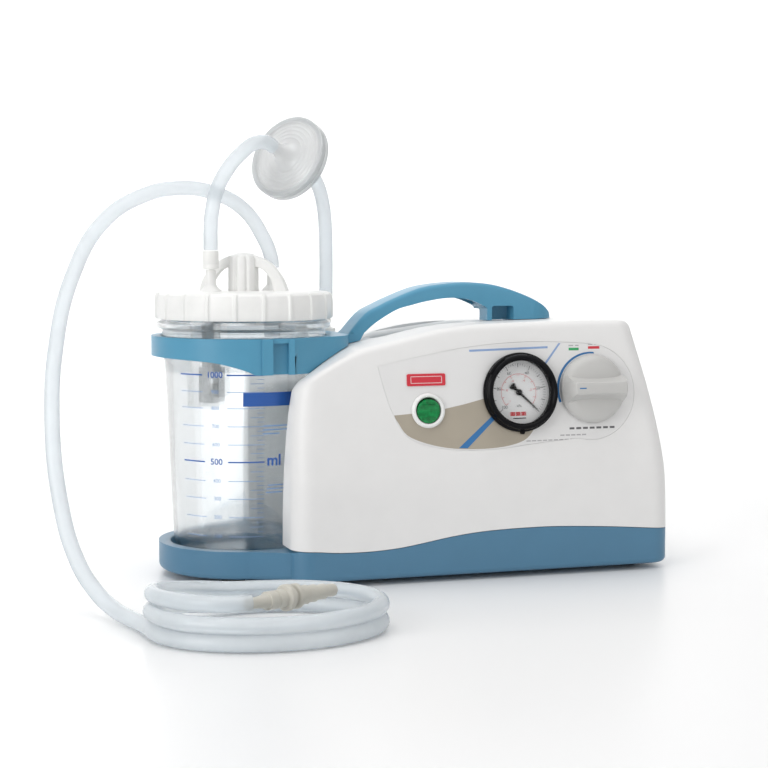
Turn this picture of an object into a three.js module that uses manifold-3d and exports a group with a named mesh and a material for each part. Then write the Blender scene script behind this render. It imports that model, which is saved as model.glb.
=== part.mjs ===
// Portable suction pump: a leaning white cabinet on a blue tray, a one-litre collection jar held
// by a blue ring and handle, a bacterial filter and the suction tubing. Millimetres, +Z up.
import * as THREE from 'three';
import { mergeVertices } from 'three/addons/utils/BufferGeometryUtils.js';
import Module from 'manifold-3d';

const wasm = await Module();
wasm.setup();

// ---------- driving dimensions ----------
const GAP = 0.3; // between pieces that touch
const WALL = 2.8; // cabinet wall
const CABINET = { left: -97, right: 175, front: -78, back: 88, corner: 14 };
const LEAN = Math.atan(0.1175); // how far the front face leans back
const LEAN_FROM = 70; // height where the lean starts
const TOP_FALL = 0.02; // the top drops this much per mm towards the back
const SEAM_GAP = 0.4;
const FOOT_HEIGHT = 4;
const JAR = { x: -111.6, y: 5, bottom: 10.3 };
const RING = { outer: 63.4, inner: 57, top: 164.3, bottom: 140.5 };
const BASE_RING = { outer: 59.5, rim: 23, well: 51, floor: 10 };
const LID = { outer: 61.6, flute: 60.3, flutes: 20, bottom: 175.7, top: 194.3 };
const PORT_A = { x: JAR.x - 24.9, y: JAR.y - 10 };
const PORT_B = { x: JAR.x + 23.1, y: JAR.y + 12 };
const HANDLE = { front: -12, back: 16, wall: 3 };
const GAUGE = { x: 62.5, z: 126, flange: 27, body: 24 };
const KNOB = { x: 115.3, z: 127, radius: 23.5, height: 18.2 };
const SWITCH = { x: -3.8, z: 115.5, bezel: 11.75, tilt: 10 };
const LABEL = { x0: -18, x1: 9, z0: 132, z1: 140 };
const BARB = { x: -36, y: 66, seat: 162, top: 178 };
const SOCKET = { x: 110, z: 60, width: 50, height: 28, face: 90 };
const TUBE = 5; // outer radius of the suction tubing
const SHAFT = { y: 25, z: 60, radius: 4 };
const PISTON = { x: -33, radius: 19.6, bore: 20 };
const CRANK_THROW = 3;
const COIL = { x: -142.5, y: -189, long: 68, short: 53, room: 5.6, height: 20 };
const FILTER = { x: -70.3, y: 37, z: 286.6, axis: new THREE.Vector3(0.733, 0.573, -0.369) };

// front edge of the cabinet's top, and the wave where it meets the tray, as x and z
const TOP_EDGE = [[-100, 129], [-77, 143], [-60, 152], [-48, 157], [-22, 163], [7, 169.6],
  [35, 172.5], [94, 173.8], [131, 174], [180, 173.2]];
const SEAM = [[-110, 25.4], [-84, 25], [-67, 23.6], [-46, 23.4], [-25, 24.8], [-8, 27.4],
  [10, 30.4], [28, 32.6], [46, 33.7], [68, 34.2], [90, 34], [127, 32], [158, 29.6], [180, 28]];
// walls of the cabinet by height, and the recess that the jar stands in
const LEFT_WALL = [[0, -97], [65, -97], [115, -95], [143, -91], [180, -87]];
const RIGHT_WALL = [[0, 175], [28, 175], [69, 173.6], [100, 168.9], [129, 162], [152, 155.3], [180, 147]];
const BACK_WALL = [[0, 88], [100, 88], [180, 84]];
const RECESS = [[20, 51.3], [48, 52.6], [80, 55], [111, 60], [140, 64.6], [170, 67.5]];

// ---------- looks ----------
const look = (color, roughness = 0.45, metalness = 0) => ({ color, roughness, metalness });
const WHITE = look(0xe9e7e5, 0.4);
const STEEL_BLUE = look(0x4a7a99, 0.42);
const SKY_BLUE = look(0x4f93b3, 0.38);
const BLACK = look(0x17181a, 0.35);
const RUBBER = look(0x2b2b2d, 0.85);
const STEEL = look(0xa8abb0, 0.3, 1);
const BRASS = look(0xb8923c, 0.35, 1);
const ALLOY = look(0x9da2a6, 0.45, 1);
const CLEAR = look(0xdfe8ee, 0.12);
const SILICONE = look(0xdde4e8, 0.4);
const GREY = look(0x9b9c9c, 0.5);

// ---------- solids ----------
function solid(geometry) {
  const bare = geometry.clone();
  bare.deleteAttribute('normal');
  bare.deleteAttribute('uv');
  const merged = mergeVertices(bare, 1e-4);
  const vertProperties = new Float32Array(merged.attributes.position.array);
  const triVerts = new Uint32Array(merged.index.array);
  if (signedVolume(vertProperties, triVerts) < 0) {
    for (let i = 0; i < triVerts.length; i += 3) {
      [triVerts[i], triVerts[i + 1]] = [triVerts[i + 1], triVerts[i]];
    }
  }
  return new wasm.Manifold(new wasm.Mesh({ numProp: 3, vertProperties, triVerts }));
}

function signedVolume(points, triangles) {
  const at = (i) => new THREE.Vector3().fromArray(points, 3 * i);
  let sum = 0;
  for (let i = 0; i < triangles.length; i += 3) {
    sum += at(triangles[i]).dot(at(triangles[i + 1]).cross(at(triangles[i + 2])));
  }
  return sum;
}

function geometryOf(manifold) {
  const mesh = manifold.getMesh();
  const geometry = new THREE.BufferGeometry();
  geometry.setAttribute('position', new THREE.BufferAttribute(mesh.vertProperties, 3));
  geometry.setIndex(new THREE.BufferAttribute(mesh.triVerts, 1));
  return geometry;
}

const join = (...solids) => solids.reduce((whole, next) => whole.add(next));
const cut = (body, ...tools) => tools.reduce((rest, tool) => rest.subtract(tool), body);

function block(x0, x1, y0, y1, z0, z1) {
  const geometry = new THREE.BoxGeometry(x1 - x0, y1 - y0, z1 - z0);
  return solid(geometry.translate((x0 + x1) / 2, (y0 + y1) / 2, (z0 + z1) / 2));
}

// a round bar along Z
function rod(radius, z0, z1, x = 0, y = 0, sides = 16) {
  const geometry = new THREE.CylinderGeometry(radius, radius, z1 - z0, sides).rotateX(Math.PI / 2);
  return solid(geometry.translate(x, y, (z0 + z1) / 2));
}

// a round bar along X
function bar(radius, x0, x1, y, z, sides = 14) {
  const geometry = new THREE.CylinderGeometry(radius, radius, x1 - x0, sides).rotateZ(Math.PI / 2);
  return solid(geometry.translate((x0 + x1) / 2, y, z));
}

// a profile of radius and height turned about the Z axis
function turned(profile, sides = 32) {
  const points = profile.map(([r, z]) => new THREE.Vector2(r, z));
  return solid(new THREE.LatheGeometry(points, sides).rotateX(Math.PI / 2));
}

function outline(points) {
  return new THREE.Shape(points.map(([x, y]) => new THREE.Vector2(x, y)));
}

// a flat outline given depth along Z
function raised(shape, z0, z1, options = {}) {
  const settings = { depth: z1 - z0, bevelEnabled: false, curveSegments: 8, ...options };
  return solid(new THREE.ExtrudeGeometry(shape, settings).translate(0, 0, z0));
}

// an outline of x and z given depth along Y
function across(points, y0, y1) {
  const geometry = new THREE.ExtrudeGeometry(outline(points), { depth: y1 - y0, bevelEnabled: false });
  return solid(geometry.rotateX(Math.PI / 2).translate(0, y1, 0));
}

function tubeAlong(points, radius, steps, sides = 8) {
  const path = new THREE.CatmullRomCurve3(points.map((p) => new THREE.Vector3(...p)), false, 'centripetal');
  const ring = [];
  for (let i = 0; i < sides; i += 1) {
    const turn = (2 * Math.PI * i) / sides;
    ring.push([radius * Math.cos(turn), radius * Math.sin(turn)]);
  }
  return solid(new THREE.ExtrudeGeometry(outline(ring), { steps, extrudePath: path, bevelEnabled: false }));
}

function between(table, height) {
  const next = table.findIndex(([z]) => z >= height);
  if (next <= 0) return table[next === 0 ? 0 : table.length - 1][1];
  const [z0, v0] = table[next - 1];
  const [z1, v1] = table[next];
  return v0 + ((v1 - v0) * (height - z0)) / (z1 - z0);
}

// ---------- the assembly ----------
const pump = new THREE.Group();
const panel = new THREE.Group(); // stands on the leaning front face, its X across and Z up the slope
panel.position.set(0, CABINET.front, LEAN_FROM);
panel.rotation.x = -LEAN;
panel.updateMatrix();
pump.add(panel);
const drive = new THREE.Group(); // the motor and pump, set to the right of the jar's recess
drive.position.x = 16;
pump.add(drive);

function place(name, body, finish, parent = pump) {
  const mesh = new THREE.Mesh(geometryOf(body), new THREE.MeshStandardMaterial(finish));
  mesh.name = name;
  parent.add(mesh);
  return mesh;
}

// ---------- cabinet ----------
function cornered(left, right, front, back, radius) {
  const shape = new THREE.Shape();
  const quarter = Math.PI / 2;
  shape.absarc(right - radius, front + radius, radius, -quarter, 0, false);
  shape.absarc(right - radius, back - radius, radius, 0, quarter, false);
  shape.absarc(left + radius, back - radius, radius, quarter, 2 * quarter, false);
  shape.absarc(left + radius, front + radius, radius, 2 * quarter, 3 * quarter, false);
  return shape;
}

// the cabinet's walls as a block, narrowed and leaned by height
function cabinetBlock(inset) {
  const { left, right, front, back, corner } = CABINET;
  const plan = cornered(left + inset, right - inset, front + inset, back - inset, corner - inset);
  const geometry = new THREE.ExtrudeGeometry(plan, {
    depth: 170, steps: 9, bevelEnabled: false, curveSegments: 5,
  }).translate(0, 0, 15);
  const at = geometry.attributes.position;
  for (let i = 0; i < at.count; i += 1) {
    const z = at.getZ(i);
    const u = (at.getX(i) - left) / (right - left);
    const v = (at.getY(i) - front) / (back - front);
    const x0 = between(LEFT_WALL, z);
    const y0 = front + Math.tan(LEAN) * Math.max(0, z - LEAN_FROM);
    at.setX(i, x0 + u * (between(RIGHT_WALL, z) - x0));
    at.setY(i, y0 + v * (between(BACK_WALL, z) - y0));
  }
  return solid(geometry);
}

// everything between a lower and an upper line of x and z, the upper one falling to the back
function slab(lower, upper, drop = 0) {
  const points = [...lower, ...upper.map(([x, z]) => [x, z - drop]).reverse()];
  const geometry = new THREE.ExtrudeGeometry(outline(points), { depth: 240, bevelEnabled: false });
  geometry.rotateX(Math.PI / 2).translate(0, 120, 0);
  const at = geometry.attributes.position;
  for (let i = 0; i < at.count; i += 1) {
    if (at.getZ(i) > 100) at.setZ(i, at.getZ(i) - TOP_FALL * (at.getY(i) - CABINET.front));
  }
  return solid(geometry);
}

function recess(extra) {
  const profile = [[0, 20], ...RECESS.map(([z, r]) => [r + extra, z]), [0, 170]];
  return turned(profile, 30).translate([JAR.x, JAR.y, 0]);
}

const handWell = (grow) => block(-20 - grow, 54 + grow, -14 - grow, 26 + grow, 148 - grow, 200);

const onPanel = (body) => solid(geometryOf(body).applyMatrix4(panel.matrix));
const upSlope = (z) => (z - LEAN_FROM) / Math.cos(LEAN);

// a profile of radius and distance out of the panel, turned about a point on it
function onFace(profile, x, z, sides = 24) {
  const points = profile.map(([r, out]) => new THREE.Vector2(r, out));
  const geometry = new THREE.LatheGeometry(points, sides).rotateX(Math.PI);
  geometry.translate(x, 0, upSlope(z));
  return solid(geometry);
}

const pin = (radius, in0, out1, spot, sides = 24) =>
  onFace([[0, in0], [radius, in0], [radius, out1], [0, out1]], spot.x, spot.z, sides);

// outline of the front overlay, in the panel's x and height up the slope
function overlayShape(inset) {
  const shape = new THREE.Shape();
  const up = (x, z) => new THREE.Vector2(x, upSlope(z));
  const circle = 33 - inset;
  shape.moveTo(-38 + inset, upSlope(146));
  shape.splineThru([up(-34 + inset, 130), up(-28 + inset, 113), up(-17, 97 + inset), up(9, 89.3 + inset),
    up(41, 88 + inset), up(72, 91 + inset), up(103.2, 93.6 + inset)]);
  shape.absarc(114.5, upSlope(125), circle, -1.92, 1.5, false);
  shape.splineThru([up(95, 159.5 - inset), up(62, 160 - inset), up(20, 156.5 - inset), up(-38 + inset, 146)]);
  return shape;
}

// a flat outline on the panel, from in0 behind the face to out1 in front of it
function onSlope(shape, in0, out1) {
  const geometry = new THREE.ExtrudeGeometry(shape, {
    depth: out1 - in0, bevelEnabled: false, curveSegments: 2,
  });
  return solid(geometry.rotateX(Math.PI / 2).translate(0, -in0, 0));
}

function upperShell() {
  const outer = cabinetBlock(0).intersect(slab(SEAM, TOP_EDGE));
  const inner = cabinetBlock(WALL).intersect(slab([[-120, 10], [190, 10]], TOP_EDGE, WALL));
  const boss = rod(9.5, 150, BARB.seat, BARB.x, BARB.y);
  const hollow = cut(inner, recess(WALL), handWell(WALL), boss);
  const posts = SCREWS.map(([x, y]) => rod(5, 40, 62, x, y, 10));
  const body = join(cut(join(outer, boss), recess(0), handWell(0), hollow), ...posts);
  const vents = [];
  for (let i = 0; i < 6; i += 1) vents.push(block(-20 + 10 * i, -15 + 10 * i, 80, 95, 62, 92));
  return cut(
    body,
    onPanel(onSlope(overlayShape(0), -1, 6)),
    onPanel(pin(GAUGE.body + 0.5, -9, 6, GAUGE)),
    onPanel(pin(5, -9, 6, KNOB)),
    onPanel(pin(10.2, -9, 6, SWITCH)),
    rod(3.6, 140, 170, BARB.x, BARB.y, 16),
    block(SOCKET.x - 22.4, SOCKET.x + 22.4, 80, 95, SOCKET.z - 11.9, SOCKET.z + 11.9),
    ...SCREWS.map(([x, y]) => rod(2, 38, 56, x, y, 8)),
    ...vents,
  );
}

const SCREWS = [[-40, -71.5], [150, -71.5], [150, 81.5], [-40, 81.5]];
const FEET = [[-128, -30], [-128, 40], [152, -50], [152, 60]];

// plan of the tray: the cabinet's plan joined to the jar's round by straight webs
function trayPlan() {
  const { left, right, front, back, corner } = CABINET;
  const shape = new THREE.Shape();
  const web = 4.55;
  shape.absarc(right - corner, front + corner, corner, -Math.PI / 2, 0, false);
  shape.absarc(right - corner, back - corner, corner, 0, Math.PI / 2, false);
  shape.absarc(left + corner, back - corner, corner, Math.PI / 2, 2.97, false);
  shape.absarc(JAR.x, JAR.y, BASE_RING.outer, 2 * Math.PI - web, web, false);
  shape.absarc(left + corner, front + corner, corner, -2.97, -Math.PI / 2, false);
  return shape;
}

function baseTray() {
  const geometry = new THREE.ExtrudeGeometry(trayPlan(), {
    depth: 60, curveSegments: 10, bevelThickness: 4.5, bevelSize: 4.5, bevelOffset: -4.5, bevelSegments: 2,
  }).translate(0, 0, FOOT_HEIGHT + 4.5);
  const below = slab([[-120, 0], [190, 0]], SEAM, SEAM_GAP);
  const rim = join(below.intersect(block(-97, 190, -90, 100, 0, 60)),
    block(-180, -60, -70, 80, 0, BASE_RING.rim));
  const { left, right, front, back, corner } = CABINET;
  const room = raised(cornered(left + 3, right - 3, front + 3, back - 3, corner - 3), 7.5, 60);
  const well = rod(BASE_RING.well, BASE_RING.floor, 60, JAR.x, JAR.y, 30);
  const wellWall = rod(BASE_RING.well + 3, 0, 60, JAR.x, JAR.y, 30);
  const drilled = SCREWS.flatMap(([x, y]) => [rod(4, 0, 6, x, y, 12), rod(2, 0, 12, x, y, 8)]);
  return cut(solid(geometry).intersect(rim), cut(room, wellWall), well, ...drilled);
}

function jarRing() {
  const band = rod(RING.outer, RING.bottom, RING.top, JAR.x, JAR.y, 40);
  const lift = across([[-180, 130], [-114, 130], [-122, 141], [-150, 149], [-180, 151]], -70, 80);
  const neck = new THREE.Shape();
  neck.moveTo(-104, JAR.y - 62.9);
  neck.splineThru([-91.5, -73, -54.5, -45.5, -42.6].map((x, i) =>
    new THREE.Vector2(x, JAR.y - [61.5, 51.5, 41, 30, 17][i])));
  neck.lineTo(-42.6, JAR.y + 17);
  neck.splineThru([-45.5, -54.5, -73, -91.5, -104].map((x, i) =>
    new THREE.Vector2(x, JAR.y + [30, 41, 51.5, 61.5, 62.9][i])));
  const over = TOP_EDGE.map(([x, z]) => [x, z + 0.5]);
  const shellTop = cut(slab([[-120, 60], [190, 60]], over), rod(RING.outer + 0.2, 100, 200, JAR.x, JAR.y, 40));
  const arm = raised(neck, RING.bottom, RING.top, { curveSegments: 6 });
  const rib = (x0, x1, out) => block(x0, x1, JAR.y - out, JAR.y - 58, RING.bottom, RING.top);
  const ribs = join(rib(-114, -106.6, 64.8), rib(-95.4, -91.5, 63));
  const slot = block(-106.6, -95.4, JAR.y - 80, JAR.y - 58.8, RING.bottom - 5, RING.top - 3);
  const bore = rod(RING.inner, 100, 200, JAR.x, JAR.y, 40);
  return cut(join(band, arm, ribs), shellTop, lift, slot, bore);
}

function carryHandle() {
  const outer = [[-42.2, 163.4], [-29, 178], [-18, 184], [-7, 189], [9, 195], [22, 197.7], [43, 199.4],
    [62, 198.2], [76, 195], [90, 190.2], [101, 185], [110.5, 178], [113.6, 173]];
  const foot = [[113.6, 160], [61, 160]];
  const inner = [[61, 180], [59, 182.4], [46, 187.5], [31, 188.4], [16, 186.4], [4, 183.6], [-7, 180.4],
    [-22, 171.6], [-30, 164.9]];
  const body = across([...outer, ...foot, ...inner, [-34, 158], [-42.2, 158]], HANDLE.front, HANDLE.back);
  const plan = new THREE.Shape();
  const mid = (HANDLE.front + HANDLE.back) / 2;
  plan.moveTo(-60, HANDLE.front);
  plan.lineTo(91, HANDLE.front);
  plan.absellipse(91, mid, 22.6, mid - HANDLE.front, -Math.PI / 2, Math.PI / 2, false, 0);
  plan.lineTo(-60, HANDLE.back);
  const drop = ([x, z]) => [x, z - HANDLE.wall - 0.6];
  const channel = across([...outer.slice(3, 9).map(drop), [70, 160], [-20, 160]],
    HANDLE.front + HANDLE.wall, HANDLE.back - HANDLE.wall);
  const pocket = block(64.5, 81, HANDLE.front - 5, 1, 150, 182.5);
  const notch = block(55, 84, 4, HANDLE.back + 5, 150, 180);
  const seat = TOP_EDGE.map(([x, z]) => [x, z + 0.4]);
  const ringTop = block(-70, -42, -60, 70, 100, RING.top + GAP);
  return cut(body.intersect(raised(plan, 150, 210)), channel, pocket, notch,
    slab([[-120, 60], [190, 60]], seat), ringTop);
}

function housing() {
  place('base_tray', baseTray(), STEEL_BLUE);
  place('upper_shell', upperShell(), WHITE);
  place('jar_ring', jarRing(), SKY_BLUE);
  place('carry_handle', carryHandle(), SKY_BLUE);
  FEET.forEach(([x, y], i) => {
    place(`rubber_foot_${i + 1}`, rod(8, 0, FOOT_HEIGHT - GAP, x, y), RUBBER);
  });
  SCREWS.forEach(([x, y], i) => {
    place(`case_screw_${i + 1}`, join(rod(3.6, 4.2, 5.7, x, y, 12), rod(1.7, 5, 52, x, y, 8)), STEEL);
  });
}

// ---------- front panel ----------
function gaugeCase() {
  const { body, flange } = GAUGE;
  const profile = [[0, -30], [5, -30], [5, -22], [body, -22], [body, 0.2], [flange, 0.2], [flange, 2.6],
    [25.7, 3.2], [25.3, 6.2], [24.3, 7.2], [22.2, 7.2], [21.3, 5.8], [21.3, 4.2], [22.7, 4.2],
    [22.7, -20.5], [0, -20.5]];
  return onFace(profile, GAUGE.x, GAUGE.z, 28);
}

// a needle lying along local X, turned to the rest mark at the lower right
function gaugePointer() {
  const rest = (-43 * Math.PI) / 180;
  const arrow = outline([[-7.5, -1.9], [-3, -0.8], [4, -0.8], [17.5, -0.25], [17.5, 0.25], [4, 0.8],
    [-3, 0.8], [-7.5, 1.9]]);
  const geometry = new THREE.ExtrudeGeometry(arrow, { depth: 0.5, bevelEnabled: false });
  geometry.rotateZ(rest).rotateX(Math.PI / 2).translate(GAUGE.x, 1.6, upSlope(GAUGE.z));
  return join(solid(geometry), pin(2.1, -2, -0.2, GAUGE, 16), pin(0.9, -9, -1, GAUGE, 10));
}

// a profile of height up the slope and distance out of it, given a length along X
function acrossPanel(points, length) {
  const geometry = new THREE.ExtrudeGeometry(outline(points), { depth: length, bevelEnabled: false });
  const upAndOut = new THREE.Matrix4().makeBasis(
    new THREE.Vector3(0, 0, 1), new THREE.Vector3(0, -1, 0), new THREE.Vector3(1, 0, 0));
  return geometry.translate(0, 0, -length / 2).applyMatrix4(upAndOut);
}

function knobBody() {
  const skirt = onFace([[0, 0.6], [KNOB.radius, 0.6], [KNOB.radius, 3.4], [22.4, 5.2], [20.6, 8.2],
    [17, 9.4], [0, 9.8]], KNOB.x, KNOB.z, 28);
  const wing = acrossPanel([[-6.6, 0.8], [6.6, 0.8], [4.2, KNOB.height], [-4.2, KNOB.height]], 50);
  const aligned = solid(wing.translate(KNOB.x, 0, upSlope(KNOB.z)));
  return join(skirt, aligned.intersect(pin(22.4, 0.8, KNOB.height, KNOB, 28)));
}

function rocker() {
  const profile = [[-8, -2], [-3, -5], [3, -5], [8, -2], [8, 2.4], [0, 1.1], [-8, 2.4]];
  const round = solid(acrossPanel(profile, 18)).intersect(pin(8, -9, 9, { x: 0, z: LEAN_FROM }));
  const tilted = geometryOf(round).translate(0, -1, 0).rotateX((SWITCH.tilt * Math.PI) / 180);
  return solid(tilted.translate(SWITCH.x, 1, upSlope(SWITCH.z)));
}

function frontPanel() {
  const overlay = cut(onSlope(overlayShape(0.4), -0.7, -0.1),
    pin(GAUGE.body + 0.5, -9, 6, GAUGE), pin(5, -9, 6, KNOB), pin(10.2, -9, 6, SWITCH));
  place('front_overlay', overlay, WHITE, panel);
  const label = outline([[LABEL.x0, upSlope(LABEL.z0)], [LABEL.x1, upSlope(LABEL.z0)],
    [LABEL.x1, upSlope(LABEL.z1)], [LABEL.x0, upSlope(LABEL.z1)]]);
  place('label_plate', onSlope(label, 0.2, 0.7), look(0xd2263a, 0.4), panel);
  place('gauge_case', gaugeCase(), BLACK, panel);
  place('gauge_lens', pin(22.2, 2.6, 3.9, GAUGE, 24), CLEAR, panel);
  place('gauge_dial', onFace([[1.5, -3.2], [22.2, -3.2], [22.2, -2.4], [1.5, -2.4], [1.5, -3.2]],
    GAUGE.x, GAUGE.z), look(0xf4f4f2, 0.5), panel);
  place('gauge_pointer', gaugePointer(), BLACK, panel);
  place('regulator_knob', cut(knobBody(), pin(3.3, 0, 7, KNOB, 16)), WHITE, panel);
  place('regulator_spindle', pin(3, -13, 6.7, KNOB, 16), BRASS, panel);
  place('regulator_valve', onFace([[0, -30], [9, -30], [9, -4], [3.3, -4], [3.3, -13.5], [0, -13.5]],
    KNOB.x, KNOB.z, 20), BRASS, panel);
  place('switch_body', onFace([[0, -14], [9.8, -14], [9.8, 0.2], [SWITCH.bezel, 0.2], [11.4, 1.6], [10, 2.4],
    [8.9, 1.6], [8.9, -8.5], [0, -8.5]], SWITCH.x, SWITCH.z, 24), WHITE, panel);
  place('switch_rocker', rocker(), look(0x0a8040, 0.3), panel);
}

// ---------- mains socket at the back ----------
function mainsSocket() {
  const { x, z, width, height, face } = SOCKET;
  const flange = block(x - width / 2, x + width / 2, 88.3, face, z - height / 2, z + height / 2);
  const body = block(x - 22, x + 22, 66, 88.6, z - 11.5, z + 11.5);
  const mouth = block(x - 12, x + 12, 72, 95, z - 5, z + 11);
  const drawerSlot = block(x - 10.3, x + 10.3, 70, 95, z - 11.1 + 0.4, z - 6.4);
  place('mains_socket', cut(join(flange, body), mouth, drawerSlot), BLACK);
  [-7, 0, 7].forEach((side, i) => {
    const rise = side === 0 ? 3 : -1;
    place(`socket_pin_${i + 1}`, block(x + side - 1, x + side + 1, 72.3, 84, z + rise, z + rise + 4.5), STEEL);
  });
  place('fuse_drawer', block(x - 10, x + 10, 70.4, face - 0.1, z - 10.4, z - 6.7), BLACK);
}

// ---------- motor and pump inside ----------
function alongX(profile, sides) {
  return solid(geometryOf(turned(profile, sides)).rotateY(Math.PI / 2).translate(0, SHAFT.y, SHAFT.z));
}

function fanBody() {
  const hub = alongX([[4.3, 88], [9, 88], [9, 100], [4.3, 100], [4.3, 88]], 14);
  const blades = [];
  for (let i = 0; i < 6; i += 1) {
    const blade = new THREE.BoxGeometry(9, 22, 1.6).rotateY(0.5).translate(94, 18.5, 0);
    blades.push(solid(blade.rotateX((i * Math.PI) / 3).translate(0, SHAFT.y, SHAFT.z)));
  }
  return join(hub, ...blades);
}

function pistonRod() {
  const stadium = (width, height, x0, x1) => join(
    block(x0, x1, SHAFT.y - width, SHAFT.y + width, SHAFT.z - height + width, SHAFT.z + height - width),
    bar(width, x0, x1, SHAFT.y, SHAFT.z + height - width),
    bar(width, x0, x1, SHAFT.y, SHAFT.z - height + width));
  const stem = block(-35, -31, SHAFT.y - 4, SHAFT.y + 4, SHAFT.z + 11, 96);
  return cut(join(stadium(10, 14, -36, -30), stem), stadium(5.9, 8.9, -40, -28));
}

function crankcase() {
  const outer = block(-50, -12, -3, 53, 22.8, 83.7);
  const room = block(-46, -15.5, -10, 49, 27, 80);
  const wayUp = rod(8, 75, 90, PISTON.x, SHAFT.y, 20);
  return cut(outer, room, wayUp, bar(4.4, -18, -8, SHAFT.y, SHAFT.z));
}

function machinery() {
  place('pump_plate', block(-54, 104, -8, 60, 20, 22.5), ALLOY, drive);
  [[-44, 0], [-44, 50], [94, 0], [94, 50]].forEach(([x, y], i) => {
    place(`vibration_mount_${i + 1}`, rod(7, 7.8, 19.7, x, y, 16), RUBBER, drive);
  });
  place('motor_stator', cut(block(35, 75, -2, 52, 22.8, 88), bar(17, 30, 80, SHAFT.y, SHAFT.z, 20)), ALLOY, drive);
  [28, 79].forEach((x, i) => {
    const plate = cut(block(x, x + 3, 2, 48, 22.8, 84), bar(4.3, x - 2, x + 5, SHAFT.y, SHAFT.z));
    place(`motor_bracket_${i + 1}`, plate, STEEL, drive);
  });
  place('motor_shaft', bar(SHAFT.radius, -15.7, 104, SHAFT.y, SHAFT.z), STEEL, drive);
  place('motor_rotor', alongX([[4.3, 36], [16.5, 36], [16.5, 74], [4.3, 74], [4.3, 36]], 16), STEEL, drive);
  place('cooling_fan', fanBody(), BLACK, drive);
  place('crank', join(bar(11, -26, -16, SHAFT.y, SHAFT.z),
    bar(2.5, -38, -25, SHAFT.y, SHAFT.z + CRANK_THROW, 16)), STEEL, drive);
  place('crankcase', crankcase(), ALLOY, drive);
  place('piston_rod', pistonRod(), ALLOY, drive);
  place('piston_cup', rod(PISTON.radius, 96.3, 103, PISTON.x, SHAFT.y, 20), GREY, drive);
  place('pump_cylinder', cut(rod(23, 84, 110, PISTON.x, SHAFT.y, 24),
    rod(PISTON.bore, 80, 120, PISTON.x, SHAFT.y, 24)), ALLOY, drive);
  const nipple = rod(3, 0, 12, 0, 0, 12).rotate([-90, 0, 0]).translate([PISTON.x, 48, 118]);
  place('cylinder_head', join(rod(26, 110.3, 124, PISTON.x, SHAFT.y, 20), nipple), ALLOY, drive);
  place('internal_hose', tubeAlong([[-36, 66, 144.6], [-36, 67, 136], [-33, 71, 128], [-26, 73, 122],
    [-18, 69, 118.2], [-17, 61, 118]], 3.5, 12), SILICONE);
  place('inlet_barb', turned([[0, 145], [3.2, 145], [3.2, 162.3], [7, 162.3], [7, 164.5], [3.4, 166],
    [3.4, 168], [4.3, 169], [3.4, 172], [4.3, 173], [3.4, BARB.top], [0, BARB.top]], 16)
    .translate([BARB.x, BARB.y, 0]), WHITE);
}

// ---------- jar and lid ----------
function jarBody() {
  const profile = [[0, JAR.bottom], [43.5, JAR.bottom], [47, 13], [49.2, 27], [54.5, 147], [56, 150],
    [56.2, 168.5], [60, 169.8], [60, 173.6], [57.2, 174.6], [57.2, 188], [54.4, 188], [54.4, 151],
    [52, 146], [46.6, 27], [44.4, 15.5], [41, 13], [0, 13]];
  return turned(profile, 32).translate([JAR.x, JAR.y, 0]);
}

function lidOutline() {
  const points = [];
  const count = 2 * LID.flutes;
  for (let i = 0; i < count; i += 1) {
    const radius = i % 2 ? LID.outer : LID.flute;
    const turn = (2 * Math.PI * i) / count;
    points.push([radius * Math.cos(turn), radius * Math.sin(turn)]);
  }
  return outline(points);
}

function lidBody() {
  const cap = raised(lidOutline(), LID.bottom, LID.top);
  const inside = turned([[0, 170], [58.4, 170], [58.4, 189.2], [0, 189.2]], 32);
  const post = turned([[0, 193], [10.5, 193], [10, 217], [7, 220], [0, 221]], 24);
  const arch = across([[-31, 193], [-28, 203], [-20, 213], [-9, 218.5], [0, 220], [9, 218.5], [20, 213],
    [28, 203], [32, 193], [22, 193], [20, 202], [14, 209], [8, 211], [8, 193], [-8, 193], [-8, 211],
    [-14, 209], [-20, 202], [-22, 193]], -4, 4).rotate([0, 0, -28]);
  const port = ({ x, y }, tip) => turned([[0, 190], [7, 190], [7, 194.3], [3.6, 197.5], [3.5, tip], [0, tip]], 16)
    .translate([x - JAR.x, y - JAR.y, 0]);
  const stub = rod(5.7, 166, 190, PORT_B.x - JAR.x, PORT_B.y - JAR.y, 20);
  const passage = ({ x, y }) => rod(2, 160, 230, x - JAR.x, y - JAR.y, 12);
  const solidLid = join(cut(cap, inside), post, arch, port(PORT_A, 209), port(PORT_B, 209), stub);
  return cut(solidLid, passage(PORT_A), passage(PORT_B)).translate([JAR.x, JAR.y, 0]);
}

function floatCage() {
  const stem = turned([[3, 139], [6.5, 139], [6.5, 188.9], [3, 188.9], [3, 139]], 16);
  const cage = turned([[0, 117], [9, 117], [9, 140], [3, 140], [3, 137], [7.2, 137], [7.2, 119], [0, 119]], 16);
  const window = block(-12, 12, -2.5, 2.5, 122, 133);
  const otherWindow = block(-2.5, 2.5, -12, 12, 122, 133);
  return cut(join(stem, cage), window, otherWindow).translate([PORT_A.x, PORT_A.y, 0]);
}

function collection() {
  place('jar', jarBody(), CLEAR);
  place('jar_lid', lidBody(), look(0xecebe8, 0.4));
  place('lid_gasket', turned([[54.6, 188.3], [56.6, 188.3], [56.6, 188.9], [54.6, 188.9], [54.6, 188.3]], 32)
    .translate([JAR.x, JAR.y, 0]), SILICONE);
  place('float_cage', floatCage(), GREY);
  place('float', turned([[0, 119.3], [5, 119.3], [6.2, 121], [6.2, 125], [5, 127.3], [0, 127.3]], 16)
    .translate([PORT_A.x, PORT_A.y, 0]), look(0xf2f2f0, 0.5));
}

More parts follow.
